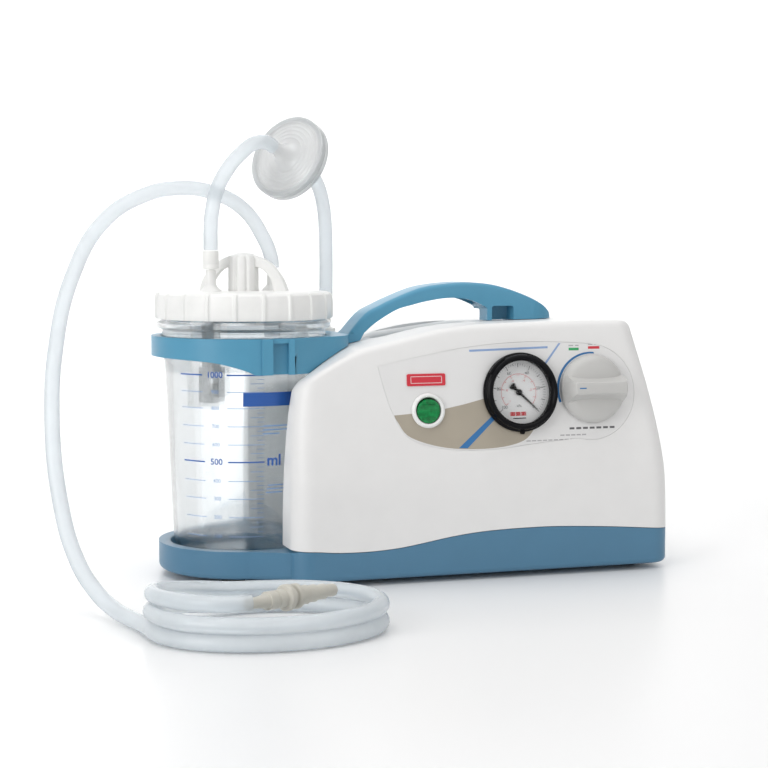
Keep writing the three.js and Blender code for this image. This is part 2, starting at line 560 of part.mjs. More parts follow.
// ---------- filter and tubing ----------
function filterBody() {
  const profile = [[0, -20], [4.4, -20], [4.4, -13], [6, -11], [9, -6], [27, -3.4], [30.5, -3.4],
    [30.5, 3.4], [27, 3.4], [9, 6], [6, 11], [4.4, 13], [4.4, 20], [0, 20]];
  const turn = new THREE.Quaternion().setFromUnitVectors(new THREE.Vector3(0, 0, 1), FILTER.axis.clone().normalize());
  const geometry = geometryOf(turned(profile, 24)).applyQuaternion(turn);
  return solid(geometry.translate(FILTER.x, FILTER.y, FILTER.z));
}

const filterSide = (distance) => {
  const axis = FILTER.axis.clone().normalize().multiplyScalar(distance);
  return [FILTER.x + axis.x, FILTER.y + axis.y, FILTER.z + axis.z];
};

function connectorBody() {
  const profile = [[0, 0], [3.4, 0], [4.2, 8], [5.4, 9], [5.4, 15], [4.6, 16], [5.4, 17], [5.4, 23],
    [7.8, 24], [7.8, 27], [5.6, 28], [5.6, 30], [7.4, 31], [7.4, 34], [6, 35], [5.6, 41], [5.1, 42],
    [4.9, 48], [4.4, 49], [4.2, 56], [3.7, 57], [3.5, 65], [2.2, 65], [2.2, 40], [0, 40]];
  const direction = new THREE.Vector3(56.2, 33.6, -2).normalize();
  const turn = new THREE.Quaternion().setFromUnitVectors(new THREE.Vector3(0, 0, 1), direction);
  return solid(geometryOf(turned(profile, 12)).applyQuaternion(turn).translate(-158.4, -224.1, 24.9));
}

// the outer shape of two turns lying on each other
function coilBody() {
  const { x, y, long, short, room, height } = COIL;
  const oval = (extra) => new THREE.Shape().absellipse(x, y, long + extra, short + extra, 0, 2 * Math.PI, false, 0);
  const ring = oval(room);
  ring.holes.push(oval(-room));
  return raised(ring, 0.1, height - GAP, { curveSegments: 14 });
}

function tubing() {
  place('port_sleeve', rod(5.5, 209.4, 222, PORT_A.x, PORT_A.y, 20), look(0xf0f0ee, 0.45));
  place('tube_lid_to_filter', tubeAlong([[-136.5, -5, 222.3], [-136.5, -5, 234], [-135.4, -4, 246],
    [-131.6, -1, 261], [-124, 3.5, 275], [-111, 10, 289], [-98.5, 17.5, 296.3], filterSide(-26), filterSide(-20.6)],
  TUBE, 10), SILICONE);
  place('filter_housing', filterBody(), CLEAR);
  place('tube_filter_to_pump', tubeAlong([filterSide(20.6), filterSide(26), [-44, 57.5, 268], [-39, 62, 254],
    [-37, 64, 240], [-36, 65.6, 214], [-36, 66, 192], [-36, 66, BARB.top + GAP]], TUBE, 10), SILICONE);
  place('patient_tube', tubeAlong([[-88.5, 17, 209.6], [-88.9, 17.2, 216], [-94.6, 17.6, 231], [-109.1, 16, 250.5],
    [-130.3, 12, 261.2], [-155, 6, 264.2], [-182.1, -1, 258.5], [-210.4, -10, 240.3], [-232.1, -22, 205],
    [-245, -38, 161.7], [-250.4, -56, 115.1], [-248.6, -76, 66.6], [-241.5, -98, 31.9], [-232, -117, 14.5],
    [-224, -135, 7.2], [-218.5, -150, 5.2], [-217, -155, 5]], TUBE, 24), SILICONE);
  place('patient_coil', coilBody(), SILICONE);
  place('patient_tail', tubeAlong([[-210, -176, 25.2], [-209, -186, 25.2], [-205.5, -198, 25.2],
    [-197.5, -210, 25.2], [-186, -220, 25.2], [-173, -225.6, 25.2], [-160.5, -225.4, 25]], TUBE, 8), SILICONE);
  place('patient_connector', connectorBody(), look(0xc9c6bc, 0.45));
}

housing();
frontPanel();
mainsSocket();
machinery();
collection();
tubing();

export default pump;
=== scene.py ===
# Portable suction pump: white leaning cabinet on a blue tray, a one-litre jar held in a blue ring
# below the carry handle, its lid, filter and suction tubing, and the gauge, switch and regulator.
import math

import bmesh
import bpy
from mathutils import Matrix, Vector


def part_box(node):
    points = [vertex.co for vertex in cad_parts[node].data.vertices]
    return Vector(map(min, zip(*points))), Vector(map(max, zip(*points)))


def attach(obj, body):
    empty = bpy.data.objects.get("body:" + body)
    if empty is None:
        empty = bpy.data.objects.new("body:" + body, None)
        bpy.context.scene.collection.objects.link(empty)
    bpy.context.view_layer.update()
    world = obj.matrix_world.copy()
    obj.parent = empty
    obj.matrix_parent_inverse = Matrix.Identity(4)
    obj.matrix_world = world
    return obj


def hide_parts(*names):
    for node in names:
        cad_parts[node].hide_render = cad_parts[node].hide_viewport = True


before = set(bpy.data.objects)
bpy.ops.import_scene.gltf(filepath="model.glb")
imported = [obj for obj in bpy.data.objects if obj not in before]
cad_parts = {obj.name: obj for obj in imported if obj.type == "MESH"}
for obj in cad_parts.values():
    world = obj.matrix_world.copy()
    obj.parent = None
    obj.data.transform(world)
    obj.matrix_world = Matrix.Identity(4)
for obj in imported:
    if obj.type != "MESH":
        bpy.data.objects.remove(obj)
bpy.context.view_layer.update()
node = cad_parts
MM = 0.001

# ---------------------------------------------------------------- camera, floor and studio
# A plain white studio sweep: a pale floor that curves up behind, lit by large soft boxes.
camera_data = bpy.data.cameras.new("camera")
camera_data.lens = 82.85
camera_data.sensor_width = 36
camera = bpy.data.objects.new("camera", camera_data)
camera.location = (-0.38194, -1.18566, 0.22966)
camera.rotation_euler = (math.radians(90 - 4.6846), 0, -math.radians(17.3317))
bpy.context.collection.objects.link(camera)
bpy.context.scene.camera = camera
bpy.context.scene.view_settings.view_transform = "Standard"


def link(name, mesh):
    made = bpy.data.objects.new(name, mesh)
    bpy.context.collection.objects.link(made)
    return made


def studio_floor():
    bm = bmesh.new()
    spots = [(-4, 0), (1.2, 0)]
    for i in range(1, 13):
        turn = math.radians(90 * i / 12)
        spots.append((1.2 + 0.8 * math.sin(turn), 0.8 - 0.8 * math.cos(turn)))
    spots.append((2.0, 3.5))
    line = [bm.verts.new((-5, y, z)) for y, z in spots]
    edges = [bm.edges.new(pair) for pair in zip(line, line[1:])]
    side = bmesh.ops.extrude_edge_only(bm, edges=edges)["geom"]
    bmesh.ops.translate(bm, vec=(10, 0, 0), verts=[v for v in side if isinstance(v, bmesh.types.BMVert)])
    bmesh.ops.recalc_face_normals(bm, faces=bm.faces)
    mesh = bpy.data.meshes.new("studio_floor")
    bm.to_mesh(mesh)
    bm.free()
    mesh.polygons.foreach_set("use_smooth", [True] * len(mesh.polygons))
    floor = link("studio_floor", mesh)
    paint = bpy.data.materials.new("floor_white")
    paint.use_nodes = True
    shader = paint.node_tree.nodes["Principled BSDF"]
    shader.inputs["Base Color"].default_value = (0.9, 0.9, 0.9, 1)
    shader.inputs["Roughness"].default_value = 0.32
    shader.inputs["Specular IOR Level"].default_value = 0.35
    mesh.materials.append(paint)


def soft_box(name, place, aim, size, power):
    light = bpy.data.lights.new(name, "AREA")
    light.shape = "RECTANGLE"
    light.size, light.size_y = size
    light.energy = power
    lamp = bpy.data.objects.new(name, light)
    lamp.location = place
    lamp.rotation_euler = (Vector(aim) - Vector(place)).to_track_quat("-Z", "Y").to_euler()
    bpy.context.collection.objects.link(lamp)


studio_floor()
soft_box("soft_box_top", (0.0, -0.1, 1.7), (0, 0, 0.1), (2.0, 1.6), 14)
soft_box("soft_box_left", (-1.7, -1.0, 0.7), (-0.05, 0, 0.1), (1.0, 1.2), 14)
soft_box("soft_box_front", (0.9, -2.2, 1.0), (0, 0, 0.12), (1.6, 1.2), 5)
soft_box("soft_box_back", (0.0, 1.2, 1.5), (0, 2.2, 0.3), (3.0, 0.8), 24)
world = bpy.data.worlds.new("studio")
bpy.context.scene.world = world
world.use_nodes = True
world.node_tree.nodes["Background"].inputs["Color"].default_value = (1, 1, 1, 1)
world.node_tree.nodes["Background"].inputs["Strength"].default_value = 0.5


# ---------------------------------------------------------------- suction tubing
# Three lengths of extruded silicone tube, 10 mm over a 6 mm bore, pushed over barbs. The long
# patient tube leaves the lid, arches over, lands beside the tray and lies in two loose turns.
def moulded(name, colour, roughness, grain=0.02, grain_size=900, mottle=0.03, transmission=0.0,
            coat=0.0, sheen_bump=0.05, ior=1.46, cloud_size=60, solid=1.0):
    """A moulded or extruded plastic: slight clouding in the colour and a fine moulded grain.

    A clear one is given a solid share below one, so that soft light reaches what is inside it."""
    paint = bpy.data.materials.new(name)
    paint.use_nodes = True
    tree = paint.node_tree
    shader = tree.nodes["Principled BSDF"]
    shader.inputs["IOR"].default_value = ior
    shader.inputs["Transmission Weight"].default_value = transmission
    shader.inputs["Coat Weight"].default_value = coat
    shader.inputs["Alpha"].default_value = solid
    shader.inputs["Coat Roughness"].default_value = 0.08
    place = tree.nodes.new("ShaderNodeTexCoord")
    cloud = tree.nodes.new("ShaderNodeTexNoise")
    cloud.inputs["Scale"].default_value = cloud_size
    cloud.inputs["Detail"].default_value = 4
    tree.links.new(place.outputs["Object"], cloud.inputs["Vector"])
    shade = tree.nodes.new("ShaderNodeValToRGB")
    shade.color_ramp.elements[0].position = 0.3
    shade.color_ramp.elements[1].position = 0.7
    shade.color_ramp.elements[0].color = [c * (1 - mottle) for c in colour] + [1]
    shade.color_ramp.elements[1].color = [min(1, c * (1 + mottle)) for c in colour] + [1]
    tree.links.new(cloud.outputs["Fac"], shade.inputs["Fac"])
    tree.links.new(shade.outputs["Color"], shader.inputs["Base Color"])
    fine = tree.nodes.new("ShaderNodeTexNoise")
    fine.inputs["Scale"].default_value = grain_size
    fine.inputs["Detail"].default_value = 2
    tree.links.new(place.outputs["Object"], fine.inputs["Vector"])
    gloss = tree.nodes.new("ShaderNodeMapRange")
    gloss.inputs["To Min"].default_value = max(0.02, roughness - 0.06)
    gloss.inputs["To Max"].default_value = roughness + 0.06
    tree.links.new(cloud.outputs["Fac"], gloss.inputs["Value"])
    tree.links.new(gloss.outputs["Result"], shader.inputs["Roughness"])
    bump = tree.nodes.new("ShaderNodeBump")
    bump.inputs["Strength"].default_value = sheen_bump
    bump.inputs["Distance"].default_value = grain * MM
    tree.links.new(fine.outputs["Fac"], bump.inputs["Height"])
    tree.links.new(bump.outputs["Normal"], shader.inputs["Normal"])
    return paint


silicone = moulded("tube_silicone", (0.80, 0.85, 0.885), 0.2, grain=0.05, grain_size=500,
                   transmission=0.45, ior=1.41, solid=0.78)
TUBE_RADIUS = 5 * MM


def tube_piece(name, route):
    curve = bpy.data.curves.new(name, "CURVE")
    curve.dimensions = "3D"
    curve.resolution_u = 8
    curve.bevel_depth = TUBE_RADIUS
    curve.bevel_resolution = 6
    curve.use_fill_caps = True
    line = curve.splines.new("BEZIER")
    line.bezier_points.add(len(route) - 1)
    for spot, place in zip(line.bezier_points, route):
        spot.co = Vector(place) * MM
        spot.handle_left_type = spot.handle_right_type = "AUTO"
    curve.materials.append(silicone)
    piece = link(name, curve)
    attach(piece, "lid")
    return piece


arch = [(-88.5, 17, 209.6), (-88.9, 17.2, 216), (-94.6, 17.6, 231), (-109.1, 16, 250.5), (-130.3, 12, 261.2),
        (-155, 6, 264.2), (-182.1, -1, 258.5), (-210.4, -10, 240.3), (-232.1, -22, 205), (-245, -38, 161.7),
        (-250.4, -56, 115.1), (-248.6, -76, 66.6), (-241.5, -98, 31.9), (-232, -117, 14.5),
        (-224, -135, 7.2), (-218, -151, 5.2), (-213.6, -168, 5.1), (-211, -184, 5.1)]
COIL_MIDDLE = (-142.5, -189)
COIL_LONG, COIL_SHORT = 68, 53
coil = []
for turn in range(190, 886, 18):
    rise = 5.1 + 10.1 * min(1, max(0, (turn - 455) / 70)) + 10.0 * min(1, max(0, (turn - 815) / 70))
    angle = math.radians(turn)
    coil.append((COIL_MIDDLE[0] + COIL_LONG * math.cos(angle),
                 COIL_MIDDLE[1] + COIL_SHORT * math.sin(angle), rise))
tail = [(-209, -187, 25.2), (-205.5, -198, 25.2), (-197.5, -210, 25.2), (-186, -220, 25.2),
        (-173, -225.6, 25.2), (-160.5, -225.4, 25)]
patient_route = arch + coil + tail
patient_tube = tube_piece("suction_tube_patient", patient_route)
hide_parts("patient_tube", "patient_coil", "patient_tail")


# ---------------------------------------------------------------- bacterial filter
# Two milky clear shells, with low rings moulded in them, welded at the rim round a pleated
# hydrophobic disc. A tapered hub on each side takes the tubing.
def finished(name, bm, paint, body, sharp=32, stands_for=()):
    """A piece from its mesh, with its faces smooth up to an edge sharper than the given angle."""
    mesh = bpy.data.meshes.new(name)
    bm.to_mesh(mesh)
    bm.free()
    mesh.polygons.foreach_set("use_smooth", [True] * len(mesh.polygons))
    mesh.set_sharp_from_angle(angle=math.radians(sharp))
    mesh.materials.append(paint)
    piece = link(name, mesh)
    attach(piece, body)
    if stands_for:
        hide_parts(*stands_for)
    return piece


def spun(profile, steps=96):
    """A profile of radius and height in millimetres, turned about Z. It ends on the axis or on itself."""
    bm = bmesh.new()
    line = [bm.verts.new((r * MM, 0, z * MM)) for r, z in profile]
    pairs = list(zip(line, line[1:]))
    if profile[0][0] > 0 or profile[-1][0] > 0:
        pairs.append((line[-1], line[0]))
    edges = [bm.edges.new(pair) for pair in pairs]
    bmesh.ops.spin(bm, geom=line + edges, cent=(0, 0, 0), axis=(0, 0, 1), angle=2 * math.pi,
                   steps=steps, use_merge=True)
    bmesh.ops.remove_doubles(bm, verts=bm.verts, dist=1e-6)
    bmesh.ops.recalc_face_normals(bm, faces=bm.faces)
    return bm


def join_in(bm, other):
    """Adds one mesh's faces to another's."""
    loose = bpy.data.meshes.new("joined")
    other.to_mesh(loose)
    other.free()
    bm.from_mesh(loose)
    bpy.data.meshes.remove(loose)
    return bm


def standing(middle, direction):
    """Where local Z points along a direction from a middle point."""
    return Matrix.Translation(middle) @ Vector(direction).to_track_quat("Z", "Y").to_matrix().to_4x4()


def carved(bm, *cutters, operation="DIFFERENCE"):
    """A mesh with others cut from it or joined to it."""
    mesh = bpy.data.meshes.new("carved")
    bm.to_mesh(mesh)
    bm.free()
    body = link("carved", mesh)
    made = [body]
    for cutter in cutters:
        tool_mesh = bpy.data.meshes.new("cutter")
        cutter.to_mesh(tool_mesh)
        cutter.free()
        tool = link("cutter", tool_mesh)
        made.append(tool)
        cut = body.modifiers.new("cut", "BOOLEAN")
        cut.operation = operation
        cut.solver = "EXACT"
        cut.object = tool
    bpy.context.view_layer.update()
    result = bmesh.new()
    shown = body.evaluated_get(bpy.context.evaluated_depsgraph_get())
    flat = bpy.data.meshes.new_from_object(shown)
    result.from_mesh(flat)
    bpy.data.meshes.remove(flat)
    for made_object in made:
        old = made_object.data
        bpy.data.objects.remove(made_object)
        bpy.data.meshes.remove(old)
    return result


def box_mesh(x0, x1, y0, y1, z0, z1, rounding=0.0):
    bm = bmesh.new()
    bmesh.ops.create_cube(bm, size=1)
    bmesh.ops.scale(bm, vec=((x1 - x0) * MM, (y1 - y0) * MM, (z1 - z0) * MM), verts=bm.verts)
    bmesh.ops.translate(bm, vec=Vector((x0 + x1, y0 + y1, z0 + z1)) * MM / 2, verts=bm.verts)
    if rounding:
        bmesh.ops.bevel(bm, geom=bm.edges[:], offset=rounding * MM, segments=2, affect="EDGES",
                        profile=0.5, material=-1)
    return bm


filter_low, filter_high = (Vector(corner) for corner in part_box("filter_housing"))
filter_middle = (filter_low + filter_high) / 2
FILTER_AXIS = Vector((0.733, 0.573, -0.369)).normalized()
WELD_INNER = 27 * MM
filter_shell = moulded("filter_clear_plastic", (0.93, 0.94, 0.945), 0.14, grain=0.08, grain_size=300,
                       transmission=0.4, ior=1.49, solid=0.6)
filter_rim = moulded("filter_weld_rim", (0.70, 0.72, 0.73), 0.2, grain=0.05, grain_size=300,
                     transmission=0.3, ior=1.49, solid=0.85)
filter_paper = moulded("filter_membrane", (0.90, 0.90, 0.895), 0.6, grain=0.25, grain_size=420, mottle=0.05)
half = [(0, 20), (2.6, 20), (3.6, 19.6), (4.4, 16), (4.6, 13), (6, 11), (8, 7.2), (10, 5.8), (12, 5.4)]
for ring in range(5):
    r = 13 + 3 * ring
    half += [(r, 5.3 - 0.3 * ring), (r + 0.8, 5.5 - 0.3 * ring), (r + 1.6, 5.2 - 0.3 * ring)]
half += [(27.6, 3.9), (28.4, 4.2), (29.8, 4.2), (30.4, 3.7), (30.5, 0.25), (27.2, 0.25), (26.8, 1.9),
         (12, 3.0), (8, 4.6), (3, 9.0), (2.4, 18), (0, 18)]
for side, label in ((1, "pump"), (-1, "patient")):
    shell = spun(half, 72)
    shell.transform(standing(filter_middle, FILTER_AXIS * side))
    dome = finished(f"filter_shell_{label}_side", shell, filter_shell, "lid")
    dome.data.materials.append(filter_rim)
    for face in dome.data.polygons:
        reach = face.center - filter_middle
        from_axis = (reach - FILTER_AXIS * reach.dot(FILTER_AXIS)).length
        face.material_index = 1 if from_axis > WELD_INNER else 0
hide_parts("filter_housing")
pleats = [(r, 0.15 + 0.35 * (r % 2)) for r in range(1, 27)]
membrane = spun([(0, 0.15)] + pleats + [(26.6, 0.1), (26.6, -0.1)]
                + [(r, -z) for r, z in reversed(pleats)] + [(0, -0.15)], 72)
membrane.transform(standing(filter_middle, FILTER_AXIS))
finished("filter_membrane_disc", membrane, filter_paper, "lid")


# ---------------------------------------------------------------- short suction tubes
# One tube goes from the lid's port up to the filter, and one from the filter down to the barb on
# the cabinet. Each is pushed over its nipples and held by its own stretch.
def filter_side(distance):
    return tuple(filter_middle / MM + FILTER_AXIS * distance)


lid_route = [(-136.5, -5, 222.3), (-136.5, -5, 228), (-136.4, -4.8, 235), (-135.4, -4, 246),
             (-131.6, -1, 261), (-124, 3.5, 275), (-111, 10, 289), (-98.5, 17.5, 296.3),
             filter_side(-26), filter_side(-20.6)]
lid_tube = tube_piece("suction_tube_lid_to_filter", lid_route)
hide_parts("tube_lid_to_filter")

pump_route = [filter_side(20.6), filter_side(26), (-44, 57.5, 268), (-39, 62, 254), (-37, 64, 240),
              (-36, 65.6, 214), (-36, 66, 192), (-36, 66, 178.3)]
pump_tube = tube_piece("suction_tube_filter_to_pump", pump_route)
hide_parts("tube_filter_to_pump")


# ---------------------------------------------------------------- fittings on the tubes
# The sleeve that clamps the tube on the lid's nipple is a plain moulded collar. The stepped
# beige connector at the patient end is one moulding with barbs, a double collar and a bore.
connector_plastic = moulded("connector_beige_plastic", (0.56, 0.54, 0.48), 0.38, grain=0.1, grain_size=350)
sleeve_plastic = moulded("sleeve_white_plastic", (0.84, 0.84, 0.82), 0.35)
CONNECTOR_START = Vector((-158.4, -224.1, 24.9)) * MM
connector = spun([(0, -6), (2.9, -6), (3.3, 0), (3.6, 4), (4.4, 8), (4.5, 9), (5.4, 9.3), (5.4, 15),
                  (4.7, 15.6), (4.7, 16.4), (5.4, 17), (5.4, 22.6), (7.2, 23.2), (7.8, 24), (7.8, 26.6),
                  (7.2, 27.4), (5.6, 28), (5.6, 30), (7.0, 30.6), (7.4, 31.3), (7.4, 33.6), (6.6, 34.4),
                  (6, 35), (5.3, 35.4), (5.7, 41), (5.0, 41.4), (4.8, 42), (5.2, 48), (4.5, 48.4),
                  (4.2, 49), (4.6, 56), (3.8, 56.4), (3.6, 57), (3.9, 62), (3.7, 64.4), (3.3, 65),
                  (2.3, 65), (2.2, 40), (0, 40)], 64)
connector.transform(standing(CONNECTOR_START, (56.2, 33.6, -2)))
finished("patient_end_connector", connector, connector_plastic, "lid", sharp=24,
         stands_for=["patient_connector"])
low, high = (Vector(c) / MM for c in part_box("port_sleeve"))
sleeve = spun([(0, 0), (4.9, 0), (5.5, 0.6), (5.5, 3), (5.3, 3.4), (5.5, 3.8), (5.5, 12), (5.2, 12.6),
               (0, 12.6)], 48)
sleeve.transform(Matrix.Translation(Vector(((low.x + high.x) / 2, (low.y + high.y) / 2, low.z)) * MM))
finished("port_collar", sleeve, sleeve_plastic, "lid", stands_for=["port_sleeve"])


# ---------------------------------------------------------------- collection jar
# A tapered one-litre jar, injection moulded in clear polycarbonate, with a flange below the
# screw neck and its graduations pad-printed in blue on the front.
jar_low, jar_high = (Vector(c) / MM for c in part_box("jar"))
JAR_X = (jar_low.x + jar_high.x) / 2
JAR_Y = (jar_low.y + jar_high.y) / 2
jar_plastic = moulded("jar_clear_polycarbonate", (0.93, 0.965, 0.98), 0.05, grain=0.02, grain_size=120,
                      mottle=0.01, transmission=1.0, sheen_bump=0.03, ior=1.5, solid=0.62)
WALL_LOW, WALL_HIGH = (49.2, 27), (54.4, 145)
jar_profile = [(0, 12.2), (40, 12.2), (41.5, 11.6), (43.5, 10.4), (45.6, 10.7), (47, 13), (48.2, 19),
               WALL_LOW, WALL_HIGH, (55, 148), (56, 150), (56.2, 153), (56.2, 168), (56.8, 169),
               (59.2, 169.5), (60, 170.4), (60, 173), (59.4, 173.6), (57.8, 174), (57.2, 174.8),
               (57.2, 187.5), (56.8, 188), (54.8, 188), (54.4, 187.6), (54.4, 151), (53.6, 149),
               (52.2, 147), (46.6, 27), (45.4, 19), (44, 15.6), (41, 14.2), (0, 14.2)]
jar = spun(jar_profile, 144)
jar.transform(Matrix.Translation((JAR_X * MM, JAR_Y * MM, 0)))
finished("collection_jar_body", jar, jar_plastic, "collection_jar", sharp=40,
         stands_for=["jar"])


def jar_radius(height):
    """The outside of the jar's tapered wall at a height."""
    widening = (WALL_HIGH[0] - WALL_LOW[0]) / (WALL_HIGH[1] - WALL_LOW[1])
    return WALL_LOW[0] + widening * (height - WALL_LOW[1])


def wrapped(bm, angle, height):
    """Bends a flat print, drawn in millimetres across and up, round the jar's front."""
    for v in bm.verts:
        z = height + v.co.y / MM
        r = jar_radius(z) + 0.04 + v.co.z / MM
        turn = math.radians(angle) + v.co.x / MM / jar_radius(z)
        v.co = Vector((JAR_X + r * math.sin(turn), JAR_Y - r * math.cos(turn), z)) * MM
    return bm


def figures(words, size, weight=0.0):
    """Numerals or a unit as a thin flat mesh in the XY plane, the size in millimetres."""
    text = bpy.data.curves.new("figures", "FONT")
    text.body = words
    text.size = size * MM
    text.align_x = "CENTER"
    text.align_y = "CENTER"
    text.extrude = 0.03 * MM
    text.offset = weight * MM
    text.resolution_u = 3
    holder = link("figures", text)
    bpy.context.view_layer.update()
    mesh = bpy.data.meshes.new_from_object(holder.evaluated_get(bpy.context.evaluated_depsgraph_get()))
    bpy.data.objects.remove(holder)
    bm = bmesh.new()
    bm.from_mesh(mesh)
    bpy.data.meshes.remove(mesh)
    return bm


def print_bar(width, height, thick=0.06, parts=1):
    """A printed bar centred on the origin, in millimetres, cut across so that it can bend."""
    bm = bmesh.new()
    bmesh.ops.create_grid(bm, x_segments=parts, y_segments=1, size=0.5)
    bmesh.ops.scale(bm, vec=(width * MM, height * MM, 1), verts=bm.verts)
    whole = bmesh.ops.extrude_face_region(bm, geom=bm.faces[:])
    bmesh.ops.translate(bm, vec=(0, 0, thick * MM),
                        verts=[g for g in whole["geom"] if isinstance(g, bmesh.types.BMVert)])
    bmesh.ops.recalc_face_normals(bm, faces=bm.faces)
    return bm


ink_blue = moulded("print_blue_ink", (0.023, 0.107, 0.402), 0.35, grain=0.01)
ink_pale = moulded("print_pale_blue_ink", (0.22, 0.36, 0.62), 0.4, grain=0.01)
MARK_HEIGHTS = [31.5, 44.5, 57.0, 69.0, 81.8, 93.5, 105.7, 117.8, 128.7, 140.0]
bold_print = bmesh.new()
fine_print = bmesh.new()
for step, height in enumerate(MARK_HEIGHTS, 1):
    bold = step in (5, 10)
    layer = bold_print if bold else fine_print
    thick_line = 0.95 if bold else 0.4
    for start, stop in ((-64, -43.5), (-25, 2)):
        width = math.radians(stop - start) * jar_radius(height)
        join_in(layer, wrapped(print_bar(width, thick_line, parts=16), (start + stop) / 2, height))
    size, weight = (5.8, 0.1) if bold else (3.6, 0)
    join_in(layer, wrapped(figures(str(step * 100), size, weight), -34, height))
    if step < 10:
        middle = (height + MARK_HEIGHTS[step]) / 2
        join_in(fine_print, wrapped(print_bar(9, 0.35, parts=6), -3.5, middle))
        for quarter in (0.25, 0.75):
            part_way = height + quarter * (MARK_HEIGHTS[step] - height)
            join_in(fine_print, wrapped(print_bar(4.5, 0.3, parts=4), -1, part_way))
join_in(bold_print, wrapped(figures("ml", 10.5, 0.28), 9.5, 82.6))
join_in(bold_print, wrapped(print_bar(44, 9.2, 0.14, parts=24), 10, 123.8))
for row in range(3):
    join_in(fine_print, wrapped(print_bar(26 - 7 * row, 0.9, parts=14), 15 - 4 * row, 106 - 2.6 * row))
    join_in(fine_print, wrapped(print_bar(20 - 4 * row, 0.8, parts=10), 16 - 3 * row, 66 - 2.4 * row))
finished("jar_print_bold", bold_print, ink_blue, "collection_jar")
finished("jar_print_fine", fine_print, ink_pale, "collection_jar")


# ---------------------------------------------------------------- screw lid
# A white cap with a scalloped grip, a fluted turning post under an arched grip rib, two tube
# ports, and a stub inside. All one moulding in polypropylene, with a gasket over the jar's rim.
lid_plastic = moulded("lid_white_polypropylene", (0.84, 0.84, 0.825), 0.34, grain=0.12, grain_size=420)
FLUTES = 20
LID_RADIUS = 61.6
LID_TOP = 194.3
PORT_A = (-24.9, -10)
PORT_B = (23.1, 12)
cap = spun([(0, LID_TOP), (50, LID_TOP), (51, LID_TOP - 0.5), (57.6, LID_TOP - 0.5), (59.6, LID_TOP - 0.9),
            (60.8, LID_TOP - 2.2), (61.2, LID_TOP - 4), (LID_RADIUS, 188), (LID_RADIUS, 180),
            (61.5, 176.8), (61.0, 175.8), (58.6, 175.8), (58.4, 177), (58.4, 189.2), (0, 189.2)],
           FLUTES * 24)
for v in cap.verts:
    radius = math.hypot(v.co.x, v.co.y)
    if radius > 59.2 * MM:
        share = FLUTES * math.atan2(v.co.y, v.co.x) / (2 * math.pi)
        from_ridge = 2 * math.pi * LID_RADIUS / FLUTES * abs((share + 0.5) % 1 - 0.5)
        scallop = 1.35 * min(1, max(0, (from_ridge - 0.7) / 1.1)) ** 0.8 * MM
        v.co.x *= (radius - scallop) / radius
        v.co.y *= (radius - scallop) / radius
post = spun([(0, 193), (10.5, 193), (10.4, 216), (9.6, 218), (7, 219.6), (3, 220.7), (0, 221)], 96)
for v in post.verts:
    radius = math.hypot(v.co.x, v.co.y)
    if radius > 8 * MM:
        groove = 1.1 * max(0, math.cos(8 * math.atan2(v.co.y, v.co.x))) ** 2 * MM
        v.co.x *= (radius - groove) / radius
        v.co.y *= (radius - groove) / radius


def prism(outline, low, high, rounding=0.0, segments=3):
    """An outline in millimetres raised along Z, with its rims rounded."""
    bm = bmesh.new()
    flat = bm.faces.new([bm.verts.new((x * MM, y * MM, low * MM)) for x, y in outline])
    made = bmesh.ops.extrude_face_region(bm, geom=[flat])
    bmesh.ops.translate(bm, vec=(0, 0, (high - low) * MM),
                        verts=[g for g in made["geom"] if isinstance(g, bmesh.types.BMVert)])
    bmesh.ops.recalc_face_normals(bm, faces=bm.faces)
    if rounding:
        rims = [e for e in bm.edges if abs(e.verts[0].co.z - e.verts[1].co.z) < 1e-7]
        bmesh.ops.bevel(bm, geom=rims, offset=rounding * MM, segments=segments, affect="EDGES", profile=0.5,
                        material=-1, clamp_overlap=True)
    return bm


def smooth_line(points, between=3):
    """More points on a smooth curve through the given ones."""
    line = []
    for i in range(len(points) - 1):
        p0, p1 = Vector(points[max(0, i - 1)]), Vector(points[i])
        p2, p3 = Vector(points[i + 1]), Vector(points[min(len(points) - 1, i + 2)])
        for k in range(between):
            t = k / between
            spot = 0.5 * (2 * p1 + (p2 - p0) * t + (2 * p0 - 5 * p1 + 4 * p2 - p3) * t ** 2
                          + (3 * p1 - p0 - 3 * p2 + p3) * t ** 3)
            line.append(tuple(spot))
    line.append(tuple(points[-1]))
    return line


outer_arch = smooth_line([(-31, 193), (-28, 203), (-20, 213), (-9, 218.5), (0, 220), (9, 218.5), (20, 213),
                          (28, 203), (32, 193)])
inner_arch = smooth_line([(22, 193), (20, 202), (14, 209), (8, 211)])
arch_rib = prism(outer_arch + inner_arch + [(8, 193), (-8, 193)] + [(-x, z) for x, z in reversed(inner_arch)],
                 -4, 4, rounding=1.1)
arch_rib.transform(Matrix.Rotation(math.radians(-28), 4, "Z") @ Matrix.Rotation(math.radians(90), 4, "X"))


def port(spot):
    bm = spun([(0, 190.5), (7.6, 190.5), (7.4, 194.4), (6.6, 195.4), (4.4, 197.6), (3.7, 199), (3.5, 208.6),
               (3.2, 209), (2, 209), (2, 190.5)], 48)
    bm.transform(Matrix.Translation((spot[0] * MM, spot[1] * MM, 0)))
    return bm


stub = spun([(4.4, 189.6), (5.7, 189.6), (5.7, 166.4), (5.2, 166), (4.6, 166), (4.4, 166.4)], 40)
stub.transform(Matrix.Translation((PORT_B[0] * MM, PORT_B[1] * MM, 0)))
lid = carved(cap, post, arch_rib, port(PORT_A), port(PORT_B), stub, operation="UNION")
lid.transform(Matrix.Translation((JAR_X * MM, JAR_Y * MM, 0)))
finished("screw_lid", lid, lid_plastic, "lid", sharp=30, stands_for=["jar_lid"])


